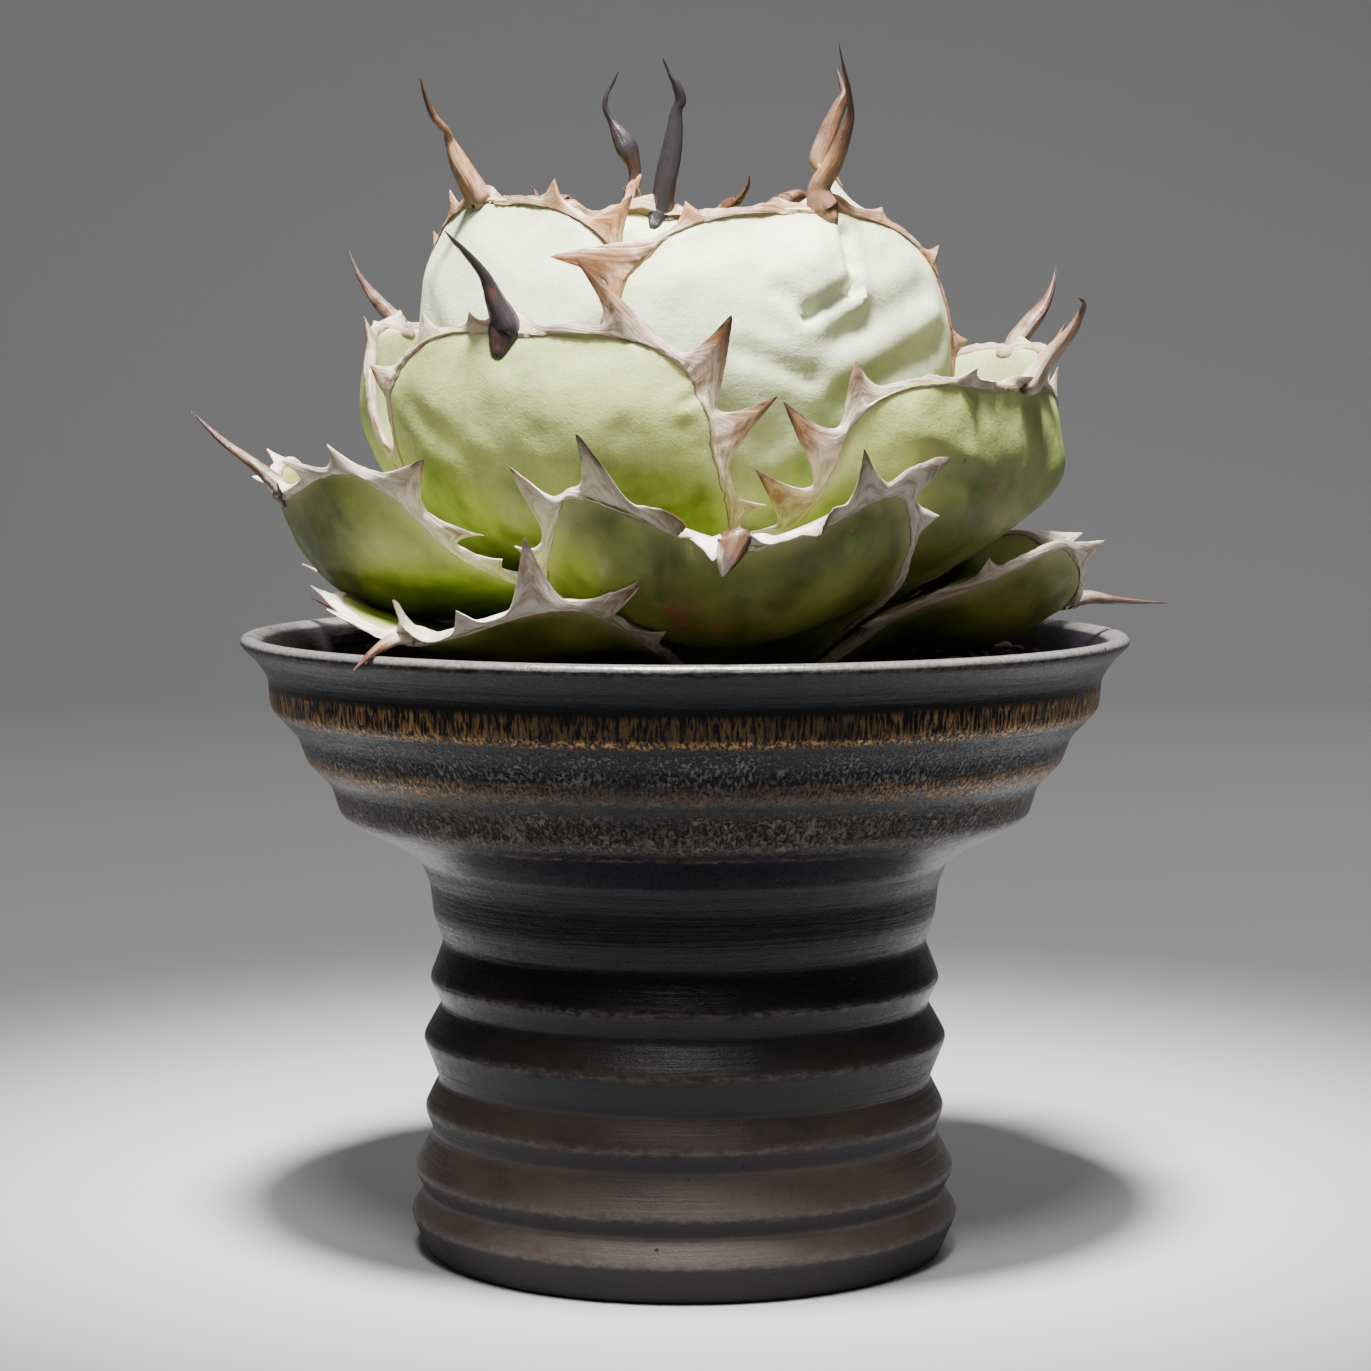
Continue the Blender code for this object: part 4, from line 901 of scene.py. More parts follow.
# teeth of the front leaves: mm from the tip along the rim (plus is to the right), length, lean to the tip,
# and how far the point stands off the outer face
frontTeeth = {
    1: ((-22, 6, 2, -3), (-13, 5, -2, -3), (3, 6, -3, -7), (14, 4, -1, -4), (26, 9, 0, -9), (39, 8, -4, -7),
        (50, 4, 0, -2)),
    4: ((-50, 5, 0, 0), (-38, 9, 4, 0), (-26, 14, -4, 0), (-14, 17, 3, 0), (-6, 2.5, 1, 1), (13.5, 17, 5, 0),
        (22.5, 15, 2, 0), (33, 9, -4, 0), (40, 4, -1, 0)),
    6: ((-38, 3, 0, 0), (-25, 3, 1, 0), (-13, 3, 0, 0), (18, 5, 2, 0), (28, 4, 1, 0), (40, 11, 1, 0),
        (51, 8, -4, 0), (61, 4, 0, 0)),
    7: ((-68, 6, -2, 0), (-57, 14, 4, 0), (-46, 13, 5, 0), (-36, 7, 2, 0), (-14, 3, 0, 0), (18, 5, 0, 0),
        (34, 7, 0, 0), (50, 5, 0, 0)),
    9: ((-50, 4, 0, 0), (-35, 5, 1, 0), (-21, 4, 0, 0), (-9, 3, 0, 0), (19, 11, 10, 0), (33, 11, 4, 0),
        (44, 11, 4, 0), (60, 5, 0, 0)),
    12: ((-50, 5, 0, 0), (-35, 12, -5, 0), (-20, 3, 0, 0), (17, 1.5, 0, 0), (32, 3, 1, 0), (48, 6, 0, 0)),
    14: ((-45, 5, 0, 0), (-30, 5, 0, 0), (-17, 4, 0, 0), (15, 4, 0, 0), (28, 8, 0, 0), (42, 6, 0, 0)),
}


def readRim(leaf):
    # the rim up the left side, over the tip and down the right, by the distance along it
    form = hornForm
    rows = np.array(rosette["rows"])
    ends, upSide, overTip = len(rows), form["rimSteps"], form["tipSteps"]
    coarse = runAlong(facePoints(leaf, "outer", np.append(rows, rows[::-1]), np.repeat((-1.0, 1.0), ends)))
    side = 1 - (1 - np.linspace(0, 1, upSide)) ** form["rimCrowding"]
    u = np.concatenate([side, np.ones(overTip), side[::-1]])
    v = np.concatenate([-np.ones(upSide), np.linspace(-1, 1, overTip + 2)[1:-1], np.ones(upSide)])
    onCoarse = np.concatenate([
        np.interp(side, rows, coarse[:ends]), np.linspace(coarse[ends - 1], coarse[ends], overTip + 2)[1:-1],
        np.interp(side[::-1], rows, coarse[ends:][::-1])])
    arc = runAlong(facePoints(leaf, "outer", u, v))
    return {"u": u, "v": v, "arc": arc, "coarse": onCoarse, "coarseTip": coarse[-1] / 2}


def onRim(rim, coarse):
    return np.interp(coarse, rim["coarse"], rim["arc"])


def listTeeth(leaf, rim):
    # teeth as place on the rim, length, lean along it and stand off the face
    form = hornForm
    tip = rim["coarseTip"]
    if leaf["index"] in frontTeeth:
        middle = onRim(rim, tip)
        return [(middle + away, length, -math.copysign(lean, away * lean), stand)
                for away, length, lean, stand in frontTeeth[leaf["index"]]]
    draw = random.Random(100 + leaf["index"])
    foot = form["firstTooth"]
    pitch = (tip * (1 - form["startShare"]) - foot) / leaf["teeth"]
    teeth = []
    for side in (-1, 1):
        for number in range(leaf["teeth"]):
            length = draw.uniform(*form["smallTooth"]) * (1 - form["toothFading"] * number / leaf["teeth"])
            lean = -side * draw.uniform(-form["toothLean"], form["toothLean"])
            place = tip + side * (foot + pitch * (number + form["firstToothAt"]))
            teeth.append((onRim(rim, place), length, lean, 0.0))
    return sorted(teeth)


def blurAlong(values, reach):
    # running mean along the rim, ends held
    kernel = np.hanning(2 * reach + 3)[1:-1]
    kernel /= kernel.sum()
    before, after = np.repeat(values[:1], reach, axis=0), np.repeat(values[-1:], reach, axis=0)
    padded = np.concatenate([before, values, after])
    if values.ndim == 1:
        return np.convolve(padded, kernel, mode="valid")
    return np.stack([np.convolve(column, kernel, mode="valid") for column in padded.T], axis=1)


def castReach(tree, ways, far=300.0):
    # how far from the heart the outermost surface is along each direction
    origin = Vector(heart)
    found = np.zeros(len(ways))
    for n, way in enumerate(ways):
        way = Vector(way)
        hit = tree.ray_cast(origin + way * far, -way, far)[0]
        found[n] = 0.0 if hit is None else (hit - origin).length
    return found


def rimFrame(leaf, rim, arc):
    # the rim's points and the ways along it, out past it and off the outer face
    form = hornForm
    u, v = np.interp(arc, rim["arc"], rim["u"]), np.interp(arc, rim["arc"], rim["v"])
    outer, inner = facePoints(leaf, "outer", u, v), facePoints(leaf, "inner", u, v)
    middle = (outer + inner) / 2
    inward = 1 - form["readInward"] / np.maximum(halfWidthAt(leaf, u), form["readInward"] + 0.1)
    acrossFace = middle - middlePoints(leaf, u, v * inward)
    alongFace = middle - middlePoints(leaf, np.clip(u - form["readBack"] / leaf["length"], 0, 1), v)
    normal = unit(np.cross(alongFace, acrossFace))
    # the raw normal turns over where the rim rounds the tip
    flips = np.where((normal[1:] * normal[:-1]).sum(axis=1) < 0, -1.0, 1.0)
    normal[1:] *= np.cumprod(flips)[:, None]
    if (normal * (middle - heart)).sum() < 0:
        normal = -normal
    along = unit(blurAlong(np.gradient(middle, axis=0) / np.gradient(arc)[:, None], form["alongBlur"]))
    out = unit(np.cross(along, normal))
    centre = facePoints(leaf, "outer", np.full(1, form["faceCentre"]), np.zeros(1))
    if (out * (middle - centre)).sum() < 0:
        out = -out
    out, normal = [unit(blurAlong(way, form["frameBlur"])) for way in (out, normal)]
    return outer, inner, middle, along, out, normal


def standTeeth(leaf, teeth, arc):
    # height, lean and stand of the ribbon's edge where the teeth are
    form = hornForm
    height, lean, flutter = np.zeros((3, len(arc)))
    draw = random.Random(500 + leaf["index"])
    least, more = form["baseShares"]
    for at, length, sideways, stand in teeth:
        # a long hollow flank on the side that the point leans from, a short one on the other
        base = form["toothBase"] * (least + more * min(length, form["baseUpTo"]) / form["baseUpTo"])
        skew = form["toothSkew"] * np.clip(-sideways / form["skewOver"], -1, 1) * np.sign(arc - at)
        share = np.clip(1 - np.abs(arc - at) / (base / 2 * (1 + skew)), 0, 1) ** form["toothPower"]
        swing = stand + draw.uniform(-1, 1) * form["flutter"] * min(1, length / form["flutterOver"])
        taller = length * share > height
        height = np.maximum(height, length * share)
        lean = np.where(taller, sideways * share ** form["bendPower"], lean)
        flutter = np.where(taller, swing * share, flutter)
    return height, lean, flutter


def clearOf(cover, rows, thick):
    # how far each section swings out so that the ribbon clears the younger leaves
    form = hornForm
    short = np.zeros(len(rows[0]))
    for row, thickness, share in list(zip(rows, thick, form["shares"]))[1:]:
        distance = np.linalg.norm(row - heart, axis=1)
        reach = castReach(cover, (row - heart) / distance[:, None])
        short = np.maximum(short, (reach + form["clearance"] + thickness - distance) / share)
    short = np.clip(short, 0, form["mostRaise"])
    widened = np.array([short[max(0, n - 3):n + 4].max() for n in range(len(short))])
    return blurAlong(widened, 4)


def buildStrip(leaf, cover):
    form = hornForm
    rim = readRim(leaf)
    teeth = listTeeth(leaf, rim)
    tipArc = onRim(rim, rim["coarseTip"]) + leaf["spineShift"]
    ends = np.array([form["startShare"], 2 - form["startShare"]]) * rim["coarseTip"]
    start, end = onRim(rim, ends)
    crowd = np.linspace(-1, 1, form["crowdSteps"]) ** 3 * form["crowding"]
    places = np.concatenate([np.arange(start, end, form["step"])] + [tooth[0] + crowd for tooth in teeth])
    arc = np.unique(np.round(places, 2))
    arc = arc[(arc >= start) & (arc <= end)]
    arc = arc[np.append(True, np.diff(arc) > form["closest"])]
    outer, inner, middle, along, out, normal = rimFrame(leaf, rim, arc)
    half = np.linalg.norm(outer - inner, axis=1) / 2

    # how far the ribbon stands out over the rim and laps onto the blade: band, teeth and the spine's foot
    seed = 31.0 * leaf["index"]
    wave = noiseAt([(place / form["wavePitch"], seed, 0) for place in arc])
    fine = noiseAt([(place / form["finePitch"], seed, 4) for place in arc])
    height, lean, flutter = standTeeth(leaf, teeth, arc)
    foot = form["footRise"] * hills(arc - tipArc, 0, form["footSpread"])
    fade = ease(arc, start, start + form["fadeOver"]) * ease(-arc, -end, form["fadeOver"] - end)
    ribbon, lap = [size * (steady + slow * wave + quick * fine) for size, (steady, slow, quick) in (
        (form["band"], form["bandWaves"]), (form["lap"], form["lapWaves"]))]
    bandFade, lapFade = [low + (1 - low) * fade for low in (form["bandAtFoot"], form["lapAtFoot"])]
    reach = np.maximum(ribbon, form["leastBand"]) * bandFade + height + foot
    lap = lap * lapFade + form["footLap"] * foot / form["footRise"]

    # cross-section out from the rim, swung clear of the younger leaves
    frill = form["frill"] * np.sin(arc / form["frillPitch"] + seed) * np.clip(reach / form["frillOver"], 0, 1)
    frill *= 1 - np.clip(height / form["toothOver"], 0, 1)
    rows, thick = [], []
    for share in form["shares"]:
        row = middle + out * (reach * share)[:, None] + along * (lean * share**2)[:, None]
        rows.append(row + normal * ((flutter + frill) * share ** form["bendPower"])[:, None])
        cord = (half * form["cordShare"] + form["cordThickness"] / 2) * (1 - share) ** form["cordTaper"]
        thinned = 1 - form["toothThinning"] * np.clip(height * share / form["toothOver"], 0, 1)
        thick.append((form["edgeThickness"] / 2 + cord) * thinned)
    thick[0] = half + form["rootThickness"]
    if cover is not None:
        short = clearOf(cover, rows, thick)
        swings = [(short * share)[:, None] for share in form["shares"]]
        rows = [row + unit(row - heart) * swing for row, swing in zip(rows, swings)]

    # the laps on the blade's two faces
    laps = []
    for share, lift in form["lapRows"]:
        place = outer - out * (lap * share)[:, None]
        ways = unit(place - heart)
        found = castReach(leaf["ownTree"], ways)
        found = np.where(found > 0, found, np.linalg.norm(place - heart, axis=1))
        laps.append(heart + ways * (blurAlong(found, 1) + lift)[:, None])
    under = inner - out * (lap * form["underShare"])[:, None]
    under -= unit(under - heart) * form["underGap"]

    bead = 1 + form["bead"] * fine
    faceSide = [rows[n] + normal * (thick[n] * bead)[:, None] for n in range(4)]
    backSide = [rows[n] - normal * (thick[n] * bead)[:, None] for n in (3, 2, 1)]
    ring = laps + faceSide + [rows[3] + out * form["edgeRound"] * bead[:, None]] + backSide
    ring += [rows[0] - normal * thick[0][:, None], under]
    points = np.stack(ring, axis=1)
    count, sides = points.shape[:2]

    pale, burnt = leafLooks[leaf["index"]][3:]
    offs = np.array(form["offs"])
    offRim = np.where(offs > 0, offs * reach[:, None], offs * lap[:, None])
    toothShare = np.clip(height / form["burnOver"], 0, 1)[:, None]
    burn = form["edgeBurn"] * ease(offs, *form["edgeFrom"]) * (form["edgeLeast"] + toothShare)
    burn = burn + form["pointBurn"] * toothShare * ease(offRim, *form["pointFrom"])
    burn = burn + form["lapBurn"] * (offs <= form["lapFrom"]) + form["spineBurn"] * burnt
    tanned = np.clip(height / form["tanOver"], 0, 1)[:, None] * ease(offRim, *form["tanFrom"])
    streakAt = form["streaks"][0] * offs + form["streaks"][1] * arc[:, None]
    values = {"streakAt": streakAt.ravel(), "burn": burn.ravel(),
              "pale": (pale - form["toothTan"] * tanned).ravel(),
              "age": np.full(count * sides, float(leaf["index"]))}
    root = np.argmin(np.abs(arc - tipArc))
    leaf.update(tipMiddle=middle[root], tipOut=out[root], tipNormal=normal[root], tipOuter=outer[root])
    return points.reshape(-1, 3), tubeFaces(count, sides), values, points[::2, 2:7]


def spineRoute(leaf, root):
    # route of the end spine from its root, with the radius at each point
    form = spineForm
    aim = leaf["outward"] * math.cos(leaf["spineSlope"]) + np.array([0, 0, math.sin(leaf["spineSlope"])])
    aim = aim * math.cos(leaf["spineLean"]) + leaf["across"] * math.sin(leaf["spineLean"])
    solid = nodePoints(f"horn_{leaf['index']:02d}")
    end = solid[np.argmax((solid - leaf["tipMiddle"]) @ aim)]
    if leaf["index"] in spineForms:
        keel, radius, steps = spineForms[leaf["index"]]
        runs = np.cumsum([math.hypot(right, up) + form["stepExtra"] for right, up, _ in steps])
        inward = (end[1] - root[1]) * runs / runs[-1]
        route = [root + np.array([right, deep, up]) for (right, up, _), deep in zip(steps, inward)]
        return keel, radius, route, [step[2] for step in steps]
    axis = end - root
    length = np.linalg.norm(axis)
    sway = unit(np.cross(unit(axis), leaf["across"])) * length
    draw = random.Random(900 + leaf["index"])
    lean, kink = [draw.uniform(-form[most], form[most]) for most in ("leaning", "kink")]
    route, radii = [], []
    for t in np.linspace(form["routeFrom"], 1, form["routeSteps"]):
        bend = form["sway"] * math.sin(2 * math.pi * t) + kink * math.sin(5 * math.pi * t)
        aside = sway * bend + leaf["across"] * lean * length * math.sin(math.pi * t)
        route.append(root + axis * t + aside * (t < 1))
        swell = 1.0
        for rise, at, over in form["swells"]:
            swell += rise * hills(t - at, 0, over)
        radii.append(swell * (form["tipRadius"] + form["radius"] * (1 - t) ** form["taper"]))
    return form["keelLength"], form["radius"] * form["rootSwell"], route, radii


def buildSpine(leaf):
    # the end spine: keel down the outer face, a flared foot, then its own bends to a thin point
    form = spineForm
    root = leaf["tipMiddle"] + leaf["tipOut"] * form["rootAt"][0] + leaf["tipNormal"] * form["rootAt"][1]
    keel, rootRadius, route, radii = spineRoute(leaf, root)
    path, across, raised = [], [], []
    for share, wide, tall in form["keel"]:
        place = leaf["tipOuter"] - leaf["tipOut"] * keel * share
        way = unit(place - heart)
        reach = castReach(leaf["ownTree"], [way])[0]
        path.append(heart + way * reach if reach > 0 else place)
        across.append(rootRadius * wide)
        raised.append(rootRadius * tall)
    keelSteps = len(path)
    path += [root] + route
    across += [rootRadius] + radii
    raised += [rootRadius * form["rootFlat"]] + [radius * form["flat"] for radius in radii]
    at = np.linspace(0, len(path) - 1, form["rings"])
    weights = splineWeights(np.arange(len(path)), at)
    centres = weights @ np.array(path)
    wide, tall = np.maximum(weights @ np.array([across, raised]).T, form["thinnest"]).T[:, :, None, None]
    headings = unit(blurAlong(np.gradient(centres, axis=0), 1))
    sideways = np.cross(leaf["tipNormal"], headings)
    weak = np.linalg.norm(sideways, axis=1) < form["leastSideways"]
    sideways[weak] = leaf["across"]
    sideways = unit(sideways - headings * (headings * sideways).sum(axis=1)[:, None])
    turn = roundSteps(form["sides"])[:, None]
    most, pitch = form["spiral"]
    spiral = most * np.sin(at * pitch + leaf["index"])[:, None, None]
    upward = np.cross(headings, sideways)
    ring = np.cos(turn) * sideways[:, None] * wide + np.sin(turn) * upward[:, None] * tall
    ring *= 1 + form["ridgeHeight"] * np.cos(form["ridges"] * (turn + spiral))
    points = (centres[:, None] + ring).reshape(-1, 3)
    rough = form["roughness"] * lumps(points, form["roughSize"], 50 + leaf["index"])
    points += unit(ring.reshape(-1, 3)) * rough[:, None]

    pale, burnt = leafLooks[leaf["index"]][3:]
    share = np.repeat((at - keelSteps) / (len(path) - 1 - keelSteps), form["sides"])
    edge = np.abs(np.tile(np.cos(turn[:, 0]), len(at)))
    least, more, onEdge = form["keelBurn"]
    keelBurn = least + more * burnt ** form["burnPower"] + onEdge * edge ** form["edgePower"]
    least, more = form["bodyBurn"]
    atTip, lessBurnt = form["tipBurn"]
    burn = least + more * burnt ** form["burnPower"]
    burn = burn + (atTip - lessBurnt * burnt) * ease(share, *form["tipBurnFrom"])
    mostPale, lost = form["paleShares"]
    values = {"streakAt": np.tile(turn[:, 0] * form["streaks"], len(at)),
              "burn": np.where(share < 0, keelBurn, burn),
              "pale": pale * (mostPale - lost * ease(share, 0.0, form["paleUpTo"])),
              "age": np.full(len(points), leaf["index"] + 0.5)}
    return points, tubeFaces(len(at), form["sides"]), values


def growRosette():
    # from the youngest leaf to the oldest, each horn swung clear of what lies inside it
    coverPoints, coverFaces = [], []
    cover = None
    for index in reversed(range(len(leafRows))):
        leaf = layOutLeaf(index)
        skin, shape = buildBlade(leaf, cover)
        strip, faces, values, hornSkin = buildStrip(leaf, cover)
        spine, spineFaces, spineValues = buildSpine(leaf)
        spineFaces = [tuple(n + len(strip) for n in face) for face in turnedOut(spine, spineFaces)]
        values = {label: np.concatenate([values[label], spineValues[label]]) for label in values}
        faces = turnedOut(strip, faces) + spineFaces
        newPiece(f"leafHorn_{index:02d}", np.vstack([strip, spine]), faces, values, "horn",
                 f"horn_{index:02d}")
        for grid, size in ((skin, shape), (hornSkin.reshape(-1, 3), hornSkin.shape[:2])):
            coverFaces += gridFaces(*size, first=len(coverPoints))
            coverPoints += [Vector(p) for p in grid]
        cover = BVHTree.FromPolygons(coverPoints, coverFaces)
    print("rosette grown")


growRosette()


# Bud: the closed spindle of the youngest leaves, its outline as in the solid
budSpindle = {
    "outline": [(0.0, 193.0), (2.4, 189.0), (5.0, 180.0), (8.0, 168.0), (9.0, 156.0), (8.0, 144.0),
                (6.0, 136.3)],
    "around": 60, "along": 90, "tipCrowding": 1.4, "thinnest": 0.02,
    "seams": 3, "twist": 0.05, "seamDepth": 0.5, "seamWidth": 0.12, "deepest": 0.6,
    "looks": {"bloom": 0.55, "margin": 9.0, "age": 0.0, "scab": 0.0},
}


def buildBud():
    form = budSpindle
    radii, knots = np.array(form["outline"])[::-1].T
    share = 1 - (1 - np.linspace(0, 1, form["along"])) ** form["tipCrowding"]
    heights = knots[0] + (knots[-1] - knots[0]) * share
    radius = np.maximum(splineWeights(knots, heights) @ radii, form["thinnest"])[:, None]
    turn = roundSteps(form["around"])
    spiral = form["seams"] * (turn - heights[:, None] * form["twist"])
    groove = form["seamDepth"] * hills(np.sin(spiral / 2), 0, form["seamWidth"])
    reach = np.maximum(radius - groove, radius * form["deepest"])
    level = np.repeat(heights[:, None], len(turn), axis=1)
    points = np.stack([reach * np.cos(turn), reach * np.sin(turn), level], axis=2).reshape(-1, 3)
    values = {label: np.full(len(points), value) for label, value in form["looks"].items()}
    faces = tubeFaces(form["along"], form["around"])
    newPiece("budSpindle", points, faces, values, "leaf", "bud")


buildBud()
print("bud made")


# Pot: turned on the wheel, its outline as in the solid, every ridge kept crisp
potTurning = {
    "outside": [
        (81.6, 117.3), (83.5, 116.6), (83.3, 115.3), (80.2, 112.4), (78.2, 109.3), (77.7, 103.6),
        (75.6, 101.3), (72.7, 98.2), (71.1, 93.6), (69.9, 92.3), (66.6, 89.0), (64.9, 83.6),
        (61.4, 81.2), (54.0, 77.7), (49.8, 74.5), (48.0, 70.0), (47.4, 64.2), (45.6, 59.0),
        (48.3, 52.0), (46.0, 47.3), (49.6, 40.9), (46.5, 33.2), (49.3, 27.6), (47.6, 23.2),
        (51.3, 16.0), (49.3, 12.0), (52.0, 7.6), (50.0, 3.0), (48.6, 0.0),
    ],
    "under": [(42.0, 0.0), (40.5, 2.5), (7.0, 2.5), (7.0, 13.0)],
    "inside": [
        (36.0, 13.0), (41.5, 18.0), (42.3, 40.0), (41.2, 62.0), (43.0, 74.0), (52.0, 82.0),
        (60.0, 88.5), (68.0, 99.0), (73.6, 106.0), (76.4, 112.4), (79.4, 116.6),
    ],
    "around": 300, "step": 0.8, "innerStep": 2.4, "softness": 1, "wobble": 0.22, "fineWobble": 0.06,
    "throwingRings": 0.10, "ringPitch": 1.15, "ringsAbove": 14.0, "flatBelow": 0.4, "plainWithin": 8.0,
    "wallFrom": 44.0, "wallThickness": 1.2,
    "crestStands": 1.6, "crestWidth": 0.7, "crestWear": 0.7, "wearFrom": 0.2,
    "noises": ((1.3, 28.0, 0.0), (14.0, 3.0, 0.0), (9.0, 6.0, 40.0)),  # of drift, fine and wear
    "gilding": (0.25, 0.75), "gildFrom": (0.28, 0.8),
}


def stepAlong(corners, step):
    arc = runAlong(corners)
    places = np.linspace(0, arc[-1], max(int(arc[-1] / step), 2), endpoint=False)
    return np.stack([np.interp(places, arc, column) for column in zip(*corners)], axis=1)


def smoothOutline(form):
    # fine steps down the outside, wide ones under and up the inside, corners eased a little
    hidden = form["outside"][-1:] + form["under"] + form["inside"] + form["outside"][:1]
    outline = np.vstack([stepAlong(form["outside"], form["step"]), stepAlong(hidden, form["innerStep"])])
    for _ in range(form["softness"]):
        outline = 0.5 * outline + 0.25 * (np.roll(outline, 1, axis=0) + np.roll(outline, -1, axis=0))
    return outline


def crestsOf(corners):
    # corners of the outside that stand out: the crests of its ridges
    return [corners[n] for n in range(1, len(corners) - 1)
            if 2 * corners[n][0] > corners[n - 1][0] + corners[n + 1][0] + potTurning["crestStands"]]


def buildPot():
    form = potTurning
    outline = smoothOutline(form)
    count, steps = len(outline), form["around"]
    radii, levels = outline.T
    wallRadii, wallLevels = zip(*form["inside"])
    innerWall = np.interp(levels, wallLevels, wallRadii)
    outside = (radii > form["wallFrom"]) & (levels > form["flatBelow"])
    outside = 1.0 * (outside & (radii > innerWall + form["wallThickness"]))
    crest = np.zeros(count)
    for r, z in crestsOf(form["outside"]):
        crest = np.maximum(crest, hills(radii - r, levels - z, form["crestWidth"]))
    crest = crest * outside
    # the up component of the outline's normal at each point, kept as "facing" for the painted shade on facets
    # that face down
    run = np.roll(outline, -1, axis=0) - np.roll(outline, 1, axis=0)
    facing = run[:, 0] / np.maximum(np.linalg.norm(run, axis=1), 1e-6)
    turn = roundSteps(steps)
    ring = np.stack([np.cos(turn), np.sin(turn)], axis=1)
    points = []
    for r, z, outer, worn in zip(radii, levels, outside, crest):
        level = np.full((steps, 1), z)
        drift, fine, chips = [noiseAt(np.hstack([ring * size, lift + level / pitch]))
                              for size, pitch, lift in form["noises"]]
        shift = form["wobble"] * drift + form["fineWobble"] * fine * outer
        ripple = form["throwingRings"] * math.sin(2 * math.pi * z / form["ringPitch"])
        shift += ripple * (1 - outer) * (z > form["ringsAbove"])
        shift -= worn * form["crestWear"] * np.clip(chips - form["wearFrom"], 0, 1)
        radius = r + shift * (z > form["flatBelow"] and r > form["plainWithin"])
        points.append(np.hstack([ring * radius[:, None], level]))
    faces = gridFaces(count, steps, wrap=True, flip=True)
    last = (count - 1) * steps
    faces += [(last + j, j, (j + 1) % steps, last + (j + 1) % steps) for j in range(steps)]
    least, more = form["gilding"]
    gilding = least + more * ease(np.abs(ring[:, 0]), *form["gildFrom"])
    values = {"height": np.repeat(levels, steps), "outside": np.repeat(outside, steps),
              "gilding": np.tile(gilding, count),
              "edge": np.repeat(crest, steps), "facing": np.repeat(facing, steps)}
    newPiece("potBody", np.vstack(points), faces, values, "pot", "pot", sharp=50)


buildPot()
print("pot turned")


# Soil: a grainy filling whose top shows round the leaves, with loose chips of bark, grit and fired clay
soilFill = {
    "top": [(17.0, 99.0), (28.0, 102.4), (38.0, 107.0), (48.0, 111.6), (57.0, 113.2), (66.0, 112.0),
            (72.5, 110.6)],
    "holeRadius": 11.1, "holeFoot": 89.7, "holeTop": 98.6, "middle": 0.4, "topFrom": 13.0, "wallBelow": 110.0,
    "foot": 13.3, "wallGap": 0.7, "around": 170, "rings": 52,
    "grain": 0.7, "grainFrom": 12.5, "grainAbove": 98.0, "grainWaves": ((1.0, 3.2, 2), (0.8, 1.3, 5)),
    "kind": 0.2, "chips": 620, "chipsFrom": 43.0, "chipsTo": 70.0, "smallest": 0.7, "largest": 2.3,
    "sizePower": 2.6, "seed": 12,
    "squeeze": ((0.7, 1.2), (0.5, 1.0), (0.35, 0.75)), "turns": ((-0.5, 0.5), (-0.5, 0.5), (0, 6.28)),
    "roughness": 0.28, "roughSize": 0.8, "sunk": 0.25,
}


def soilHeight(radius):
    return np.interp(radius, *zip(*soilFill["top"]))


def buildSoil():
    form = soilFill
    turn = roundSteps(form["around"])
    edge = form["top"][-1][0]
    wallAt = [(r - form["wallGap"], z) for r, z in reversed(potTurning["inside"])
              if z < form["wallBelow"]]
    hole, middle = form["holeRadius"], form["middle"]
    rings = [(middle, form["holeFoot"]), (hole, form["holeFoot"]), (hole, form["holeTop"])]
    rings += [(r, soilHeight(r)) for r in np.linspace(form["topFrom"], edge, form["rings"])]
    rings += wallAt[:-1] + [(wallAt[-1][0], form["foot"]), (middle, form["foot"])]
    points = []
    for r, z in rings:
        ring = np.column_stack([np.cos(turn) * r, np.sin(turn) * r, np.full(len(turn), z)])
        if form["grainFrom"] < r < edge and z > form["grainAbove"]:
            waves = [share * lumps(ring, size, seed) for share, size, seed in form["grainWaves"]]
            ring[:, 2] += form["grain"] * sum(waves)
        points.append(ring)
    points = np.vstack(points)
    faces = turnedOut(points, tubeFaces(len(rings), len(turn)))
    newPiece("soilTop", points, faces, {"kind": np.full(len(points), form["kind"])}, "soil", "soil")


def buildChips():
    # loose lumps: a coarse ball each, squeezed and turned by a seeded draw
    form = soilFill
    draw = random.Random(form["seed"])
    ball = bmesh.new()
    bmesh.ops.create_icosphere(ball, subdivisions=2, radius=1.0)
    shape = np.array([tuple(vert.co) for vert in ball.verts])
    ballFaces = np.array([[vert.index for vert in face.verts] for face in ball.faces])
    ball.free()
    points, faces, kinds = [], [], []
    for number in range(form["chips"]):
        radius = math.sqrt(draw.uniform(form["chipsFrom"]**2, form["chipsTo"]**2))
        angle = draw.uniform(0, 2 * math.pi)
        size = form["smallest"] + (form["largest"] - form["smallest"]) * draw.random() ** form["sizePower"]
        scale = np.array([draw.uniform(*limits) for limits in form["squeeze"]]) * size
        turn = Euler([draw.uniform(*limits) for limits in form["turns"]])
        rough = 1 + form["roughness"] * lumps(shape + number, form["roughSize"], number)[:, None]
        lump = (shape * rough * scale) @ np.array(turn.to_matrix()).T
        level = soilHeight(radius) + form["sunk"] * size
        faces += (ballFaces + len(shape) * number).tolist()
        points.append(lump + [radius * math.cos(angle), radius * math.sin(angle), level])
        kinds.append(np.full(len(shape), draw.random()))
    values = {"kind": np.concatenate(kinds)}
    newPiece("soilChips", np.vstack(points), faces, values, "soil", None, sharp=35)


buildSoil()
buildChips()
print("soil filled")

# Stem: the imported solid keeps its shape
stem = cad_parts["stem"]
stem.data.materials.clear()
stem.data.materials.append(materials["stem"])


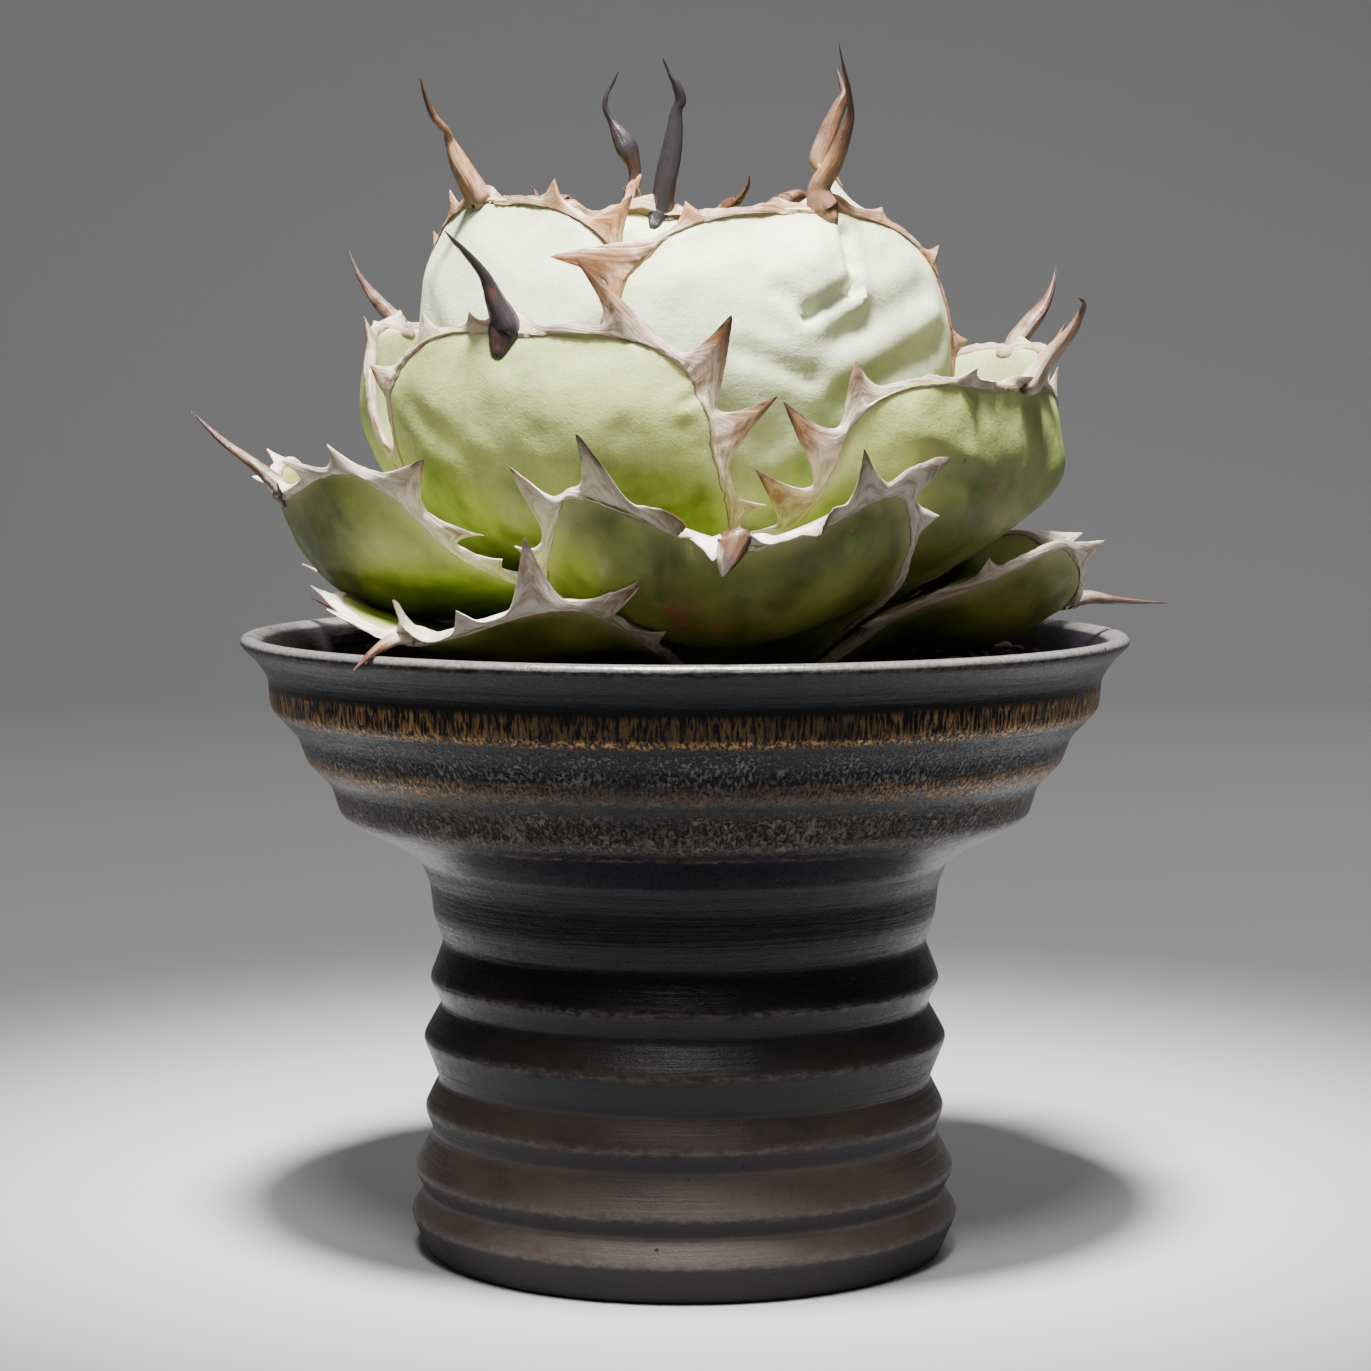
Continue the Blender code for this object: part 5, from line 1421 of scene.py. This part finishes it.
# Floor, light and camera
studio = {
    "floorColour": (0.42, 0.42, 0.425), "floorRough": 0.8, "sweepSteps": 24,
    "sweepFrom": 1.2, "sweepRadius": 0.7, "sweepTop": 2.4, "floorSpan": 4.0,
    "worldColour": (1.0, 0.985, 0.96), "worldStrength": 0.13,
    "key": {"place": (-0.02, -0.27, 0.79), "aim": (0, -0.005, 0.165), "cone": 31.0, "blend": 1.0,
            "radius": 0.07, "power": 165.0},
    "front": {"place": (-0.08, -0.95, 1.55), "aim": (0, 0, 0.12), "size": 0.36, "power": 20.0},
    "back": {"place": (0.5, 0.9, 1.3), "aim": (0, 0, 0.15), "size": 0.8, "power": 6.0},
    "cameraPlace": (0.00017, -0.7093, 0.1651), "cameraPitch": -4.69, "lens": 99.0, "sensor": 36.0,
}


def buildFloor():
    # a pale floor that curves up into the backdrop behind
    form = studio
    profile = [(-form["floorSpan"], 0.0), (form["sweepFrom"], 0.0)]
    for step in range(1, form["sweepSteps"] + 1):
        angle = math.pi / 2 * step / form["sweepSteps"]
        profile.append((form["sweepFrom"] + form["sweepRadius"] * math.sin(angle),
                        form["sweepRadius"] * (1 - math.cos(angle))))
    profile.append((profile[-1][0], form["sweepTop"]))
    points = [(side * form["floorSpan"], y, z) for y, z in profile for side in (-1, 1)]
    faces = [(2 * k, 2 * k + 1, 2 * k + 3, 2 * k + 2) for k in range(len(profile) - 1)]
    floorMesh = bpy.data.meshes.new("floor")
    floorMesh.from_pydata(points, [], faces)
    floorMesh.shade_smooth()
    material, _, shader = newMaterial("paleFloor", Roughness=form["floorRough"])
    shader.inputs["Base Color"].default_value = (*form["floorColour"], 1)
    floorMesh.materials.append(material)
    floor = bpy.data.objects.new("floor", floorMesh)
    bpy.context.scene.collection.objects.link(floor)


def addLight(name):
    form = studio[name]
    data = bpy.data.lights.new(name, "SPOT" if "cone" in form else "AREA")
    data.energy = form["power"]
    if "cone" in form:
        data.spot_size = math.radians(form["cone"])
        data.spot_blend = form["blend"]
        data.shadow_soft_size = form["radius"]
    else:
        data.shape = "DISK"
        data.size = form["size"]
    light = bpy.data.objects.new(name, data)
    light.location = form["place"]
    light.rotation_euler = (Vector(form["aim"]) - Vector(form["place"])).to_track_quat("-Z", "Y").to_euler()
    bpy.context.scene.collection.objects.link(light)


def setStage():
    buildFloor()
    world = bpy.data.worlds.new("studioAir")
    world.use_nodes = True
    background = world.node_tree.nodes["Background"]
    background.inputs["Color"].default_value = (*studio["worldColour"], 1)
    background.inputs["Strength"].default_value = studio["worldStrength"]
    bpy.context.scene.world = world
    for name in ("key", "front", "back"):
        addLight(name)
    data = bpy.data.cameras.new("photoCamera")
    data.lens = studio["lens"]
    data.sensor_width = studio["sensor"]
    camera = bpy.data.objects.new("photoCamera", data)
    camera.location = studio["cameraPlace"]
    camera.rotation_euler = (math.radians(90 + studio["cameraPitch"]), 0, 0)
    bpy.context.scene.collection.objects.link(camera)
    bpy.context.scene.camera = camera


setStage()
print("stage set")
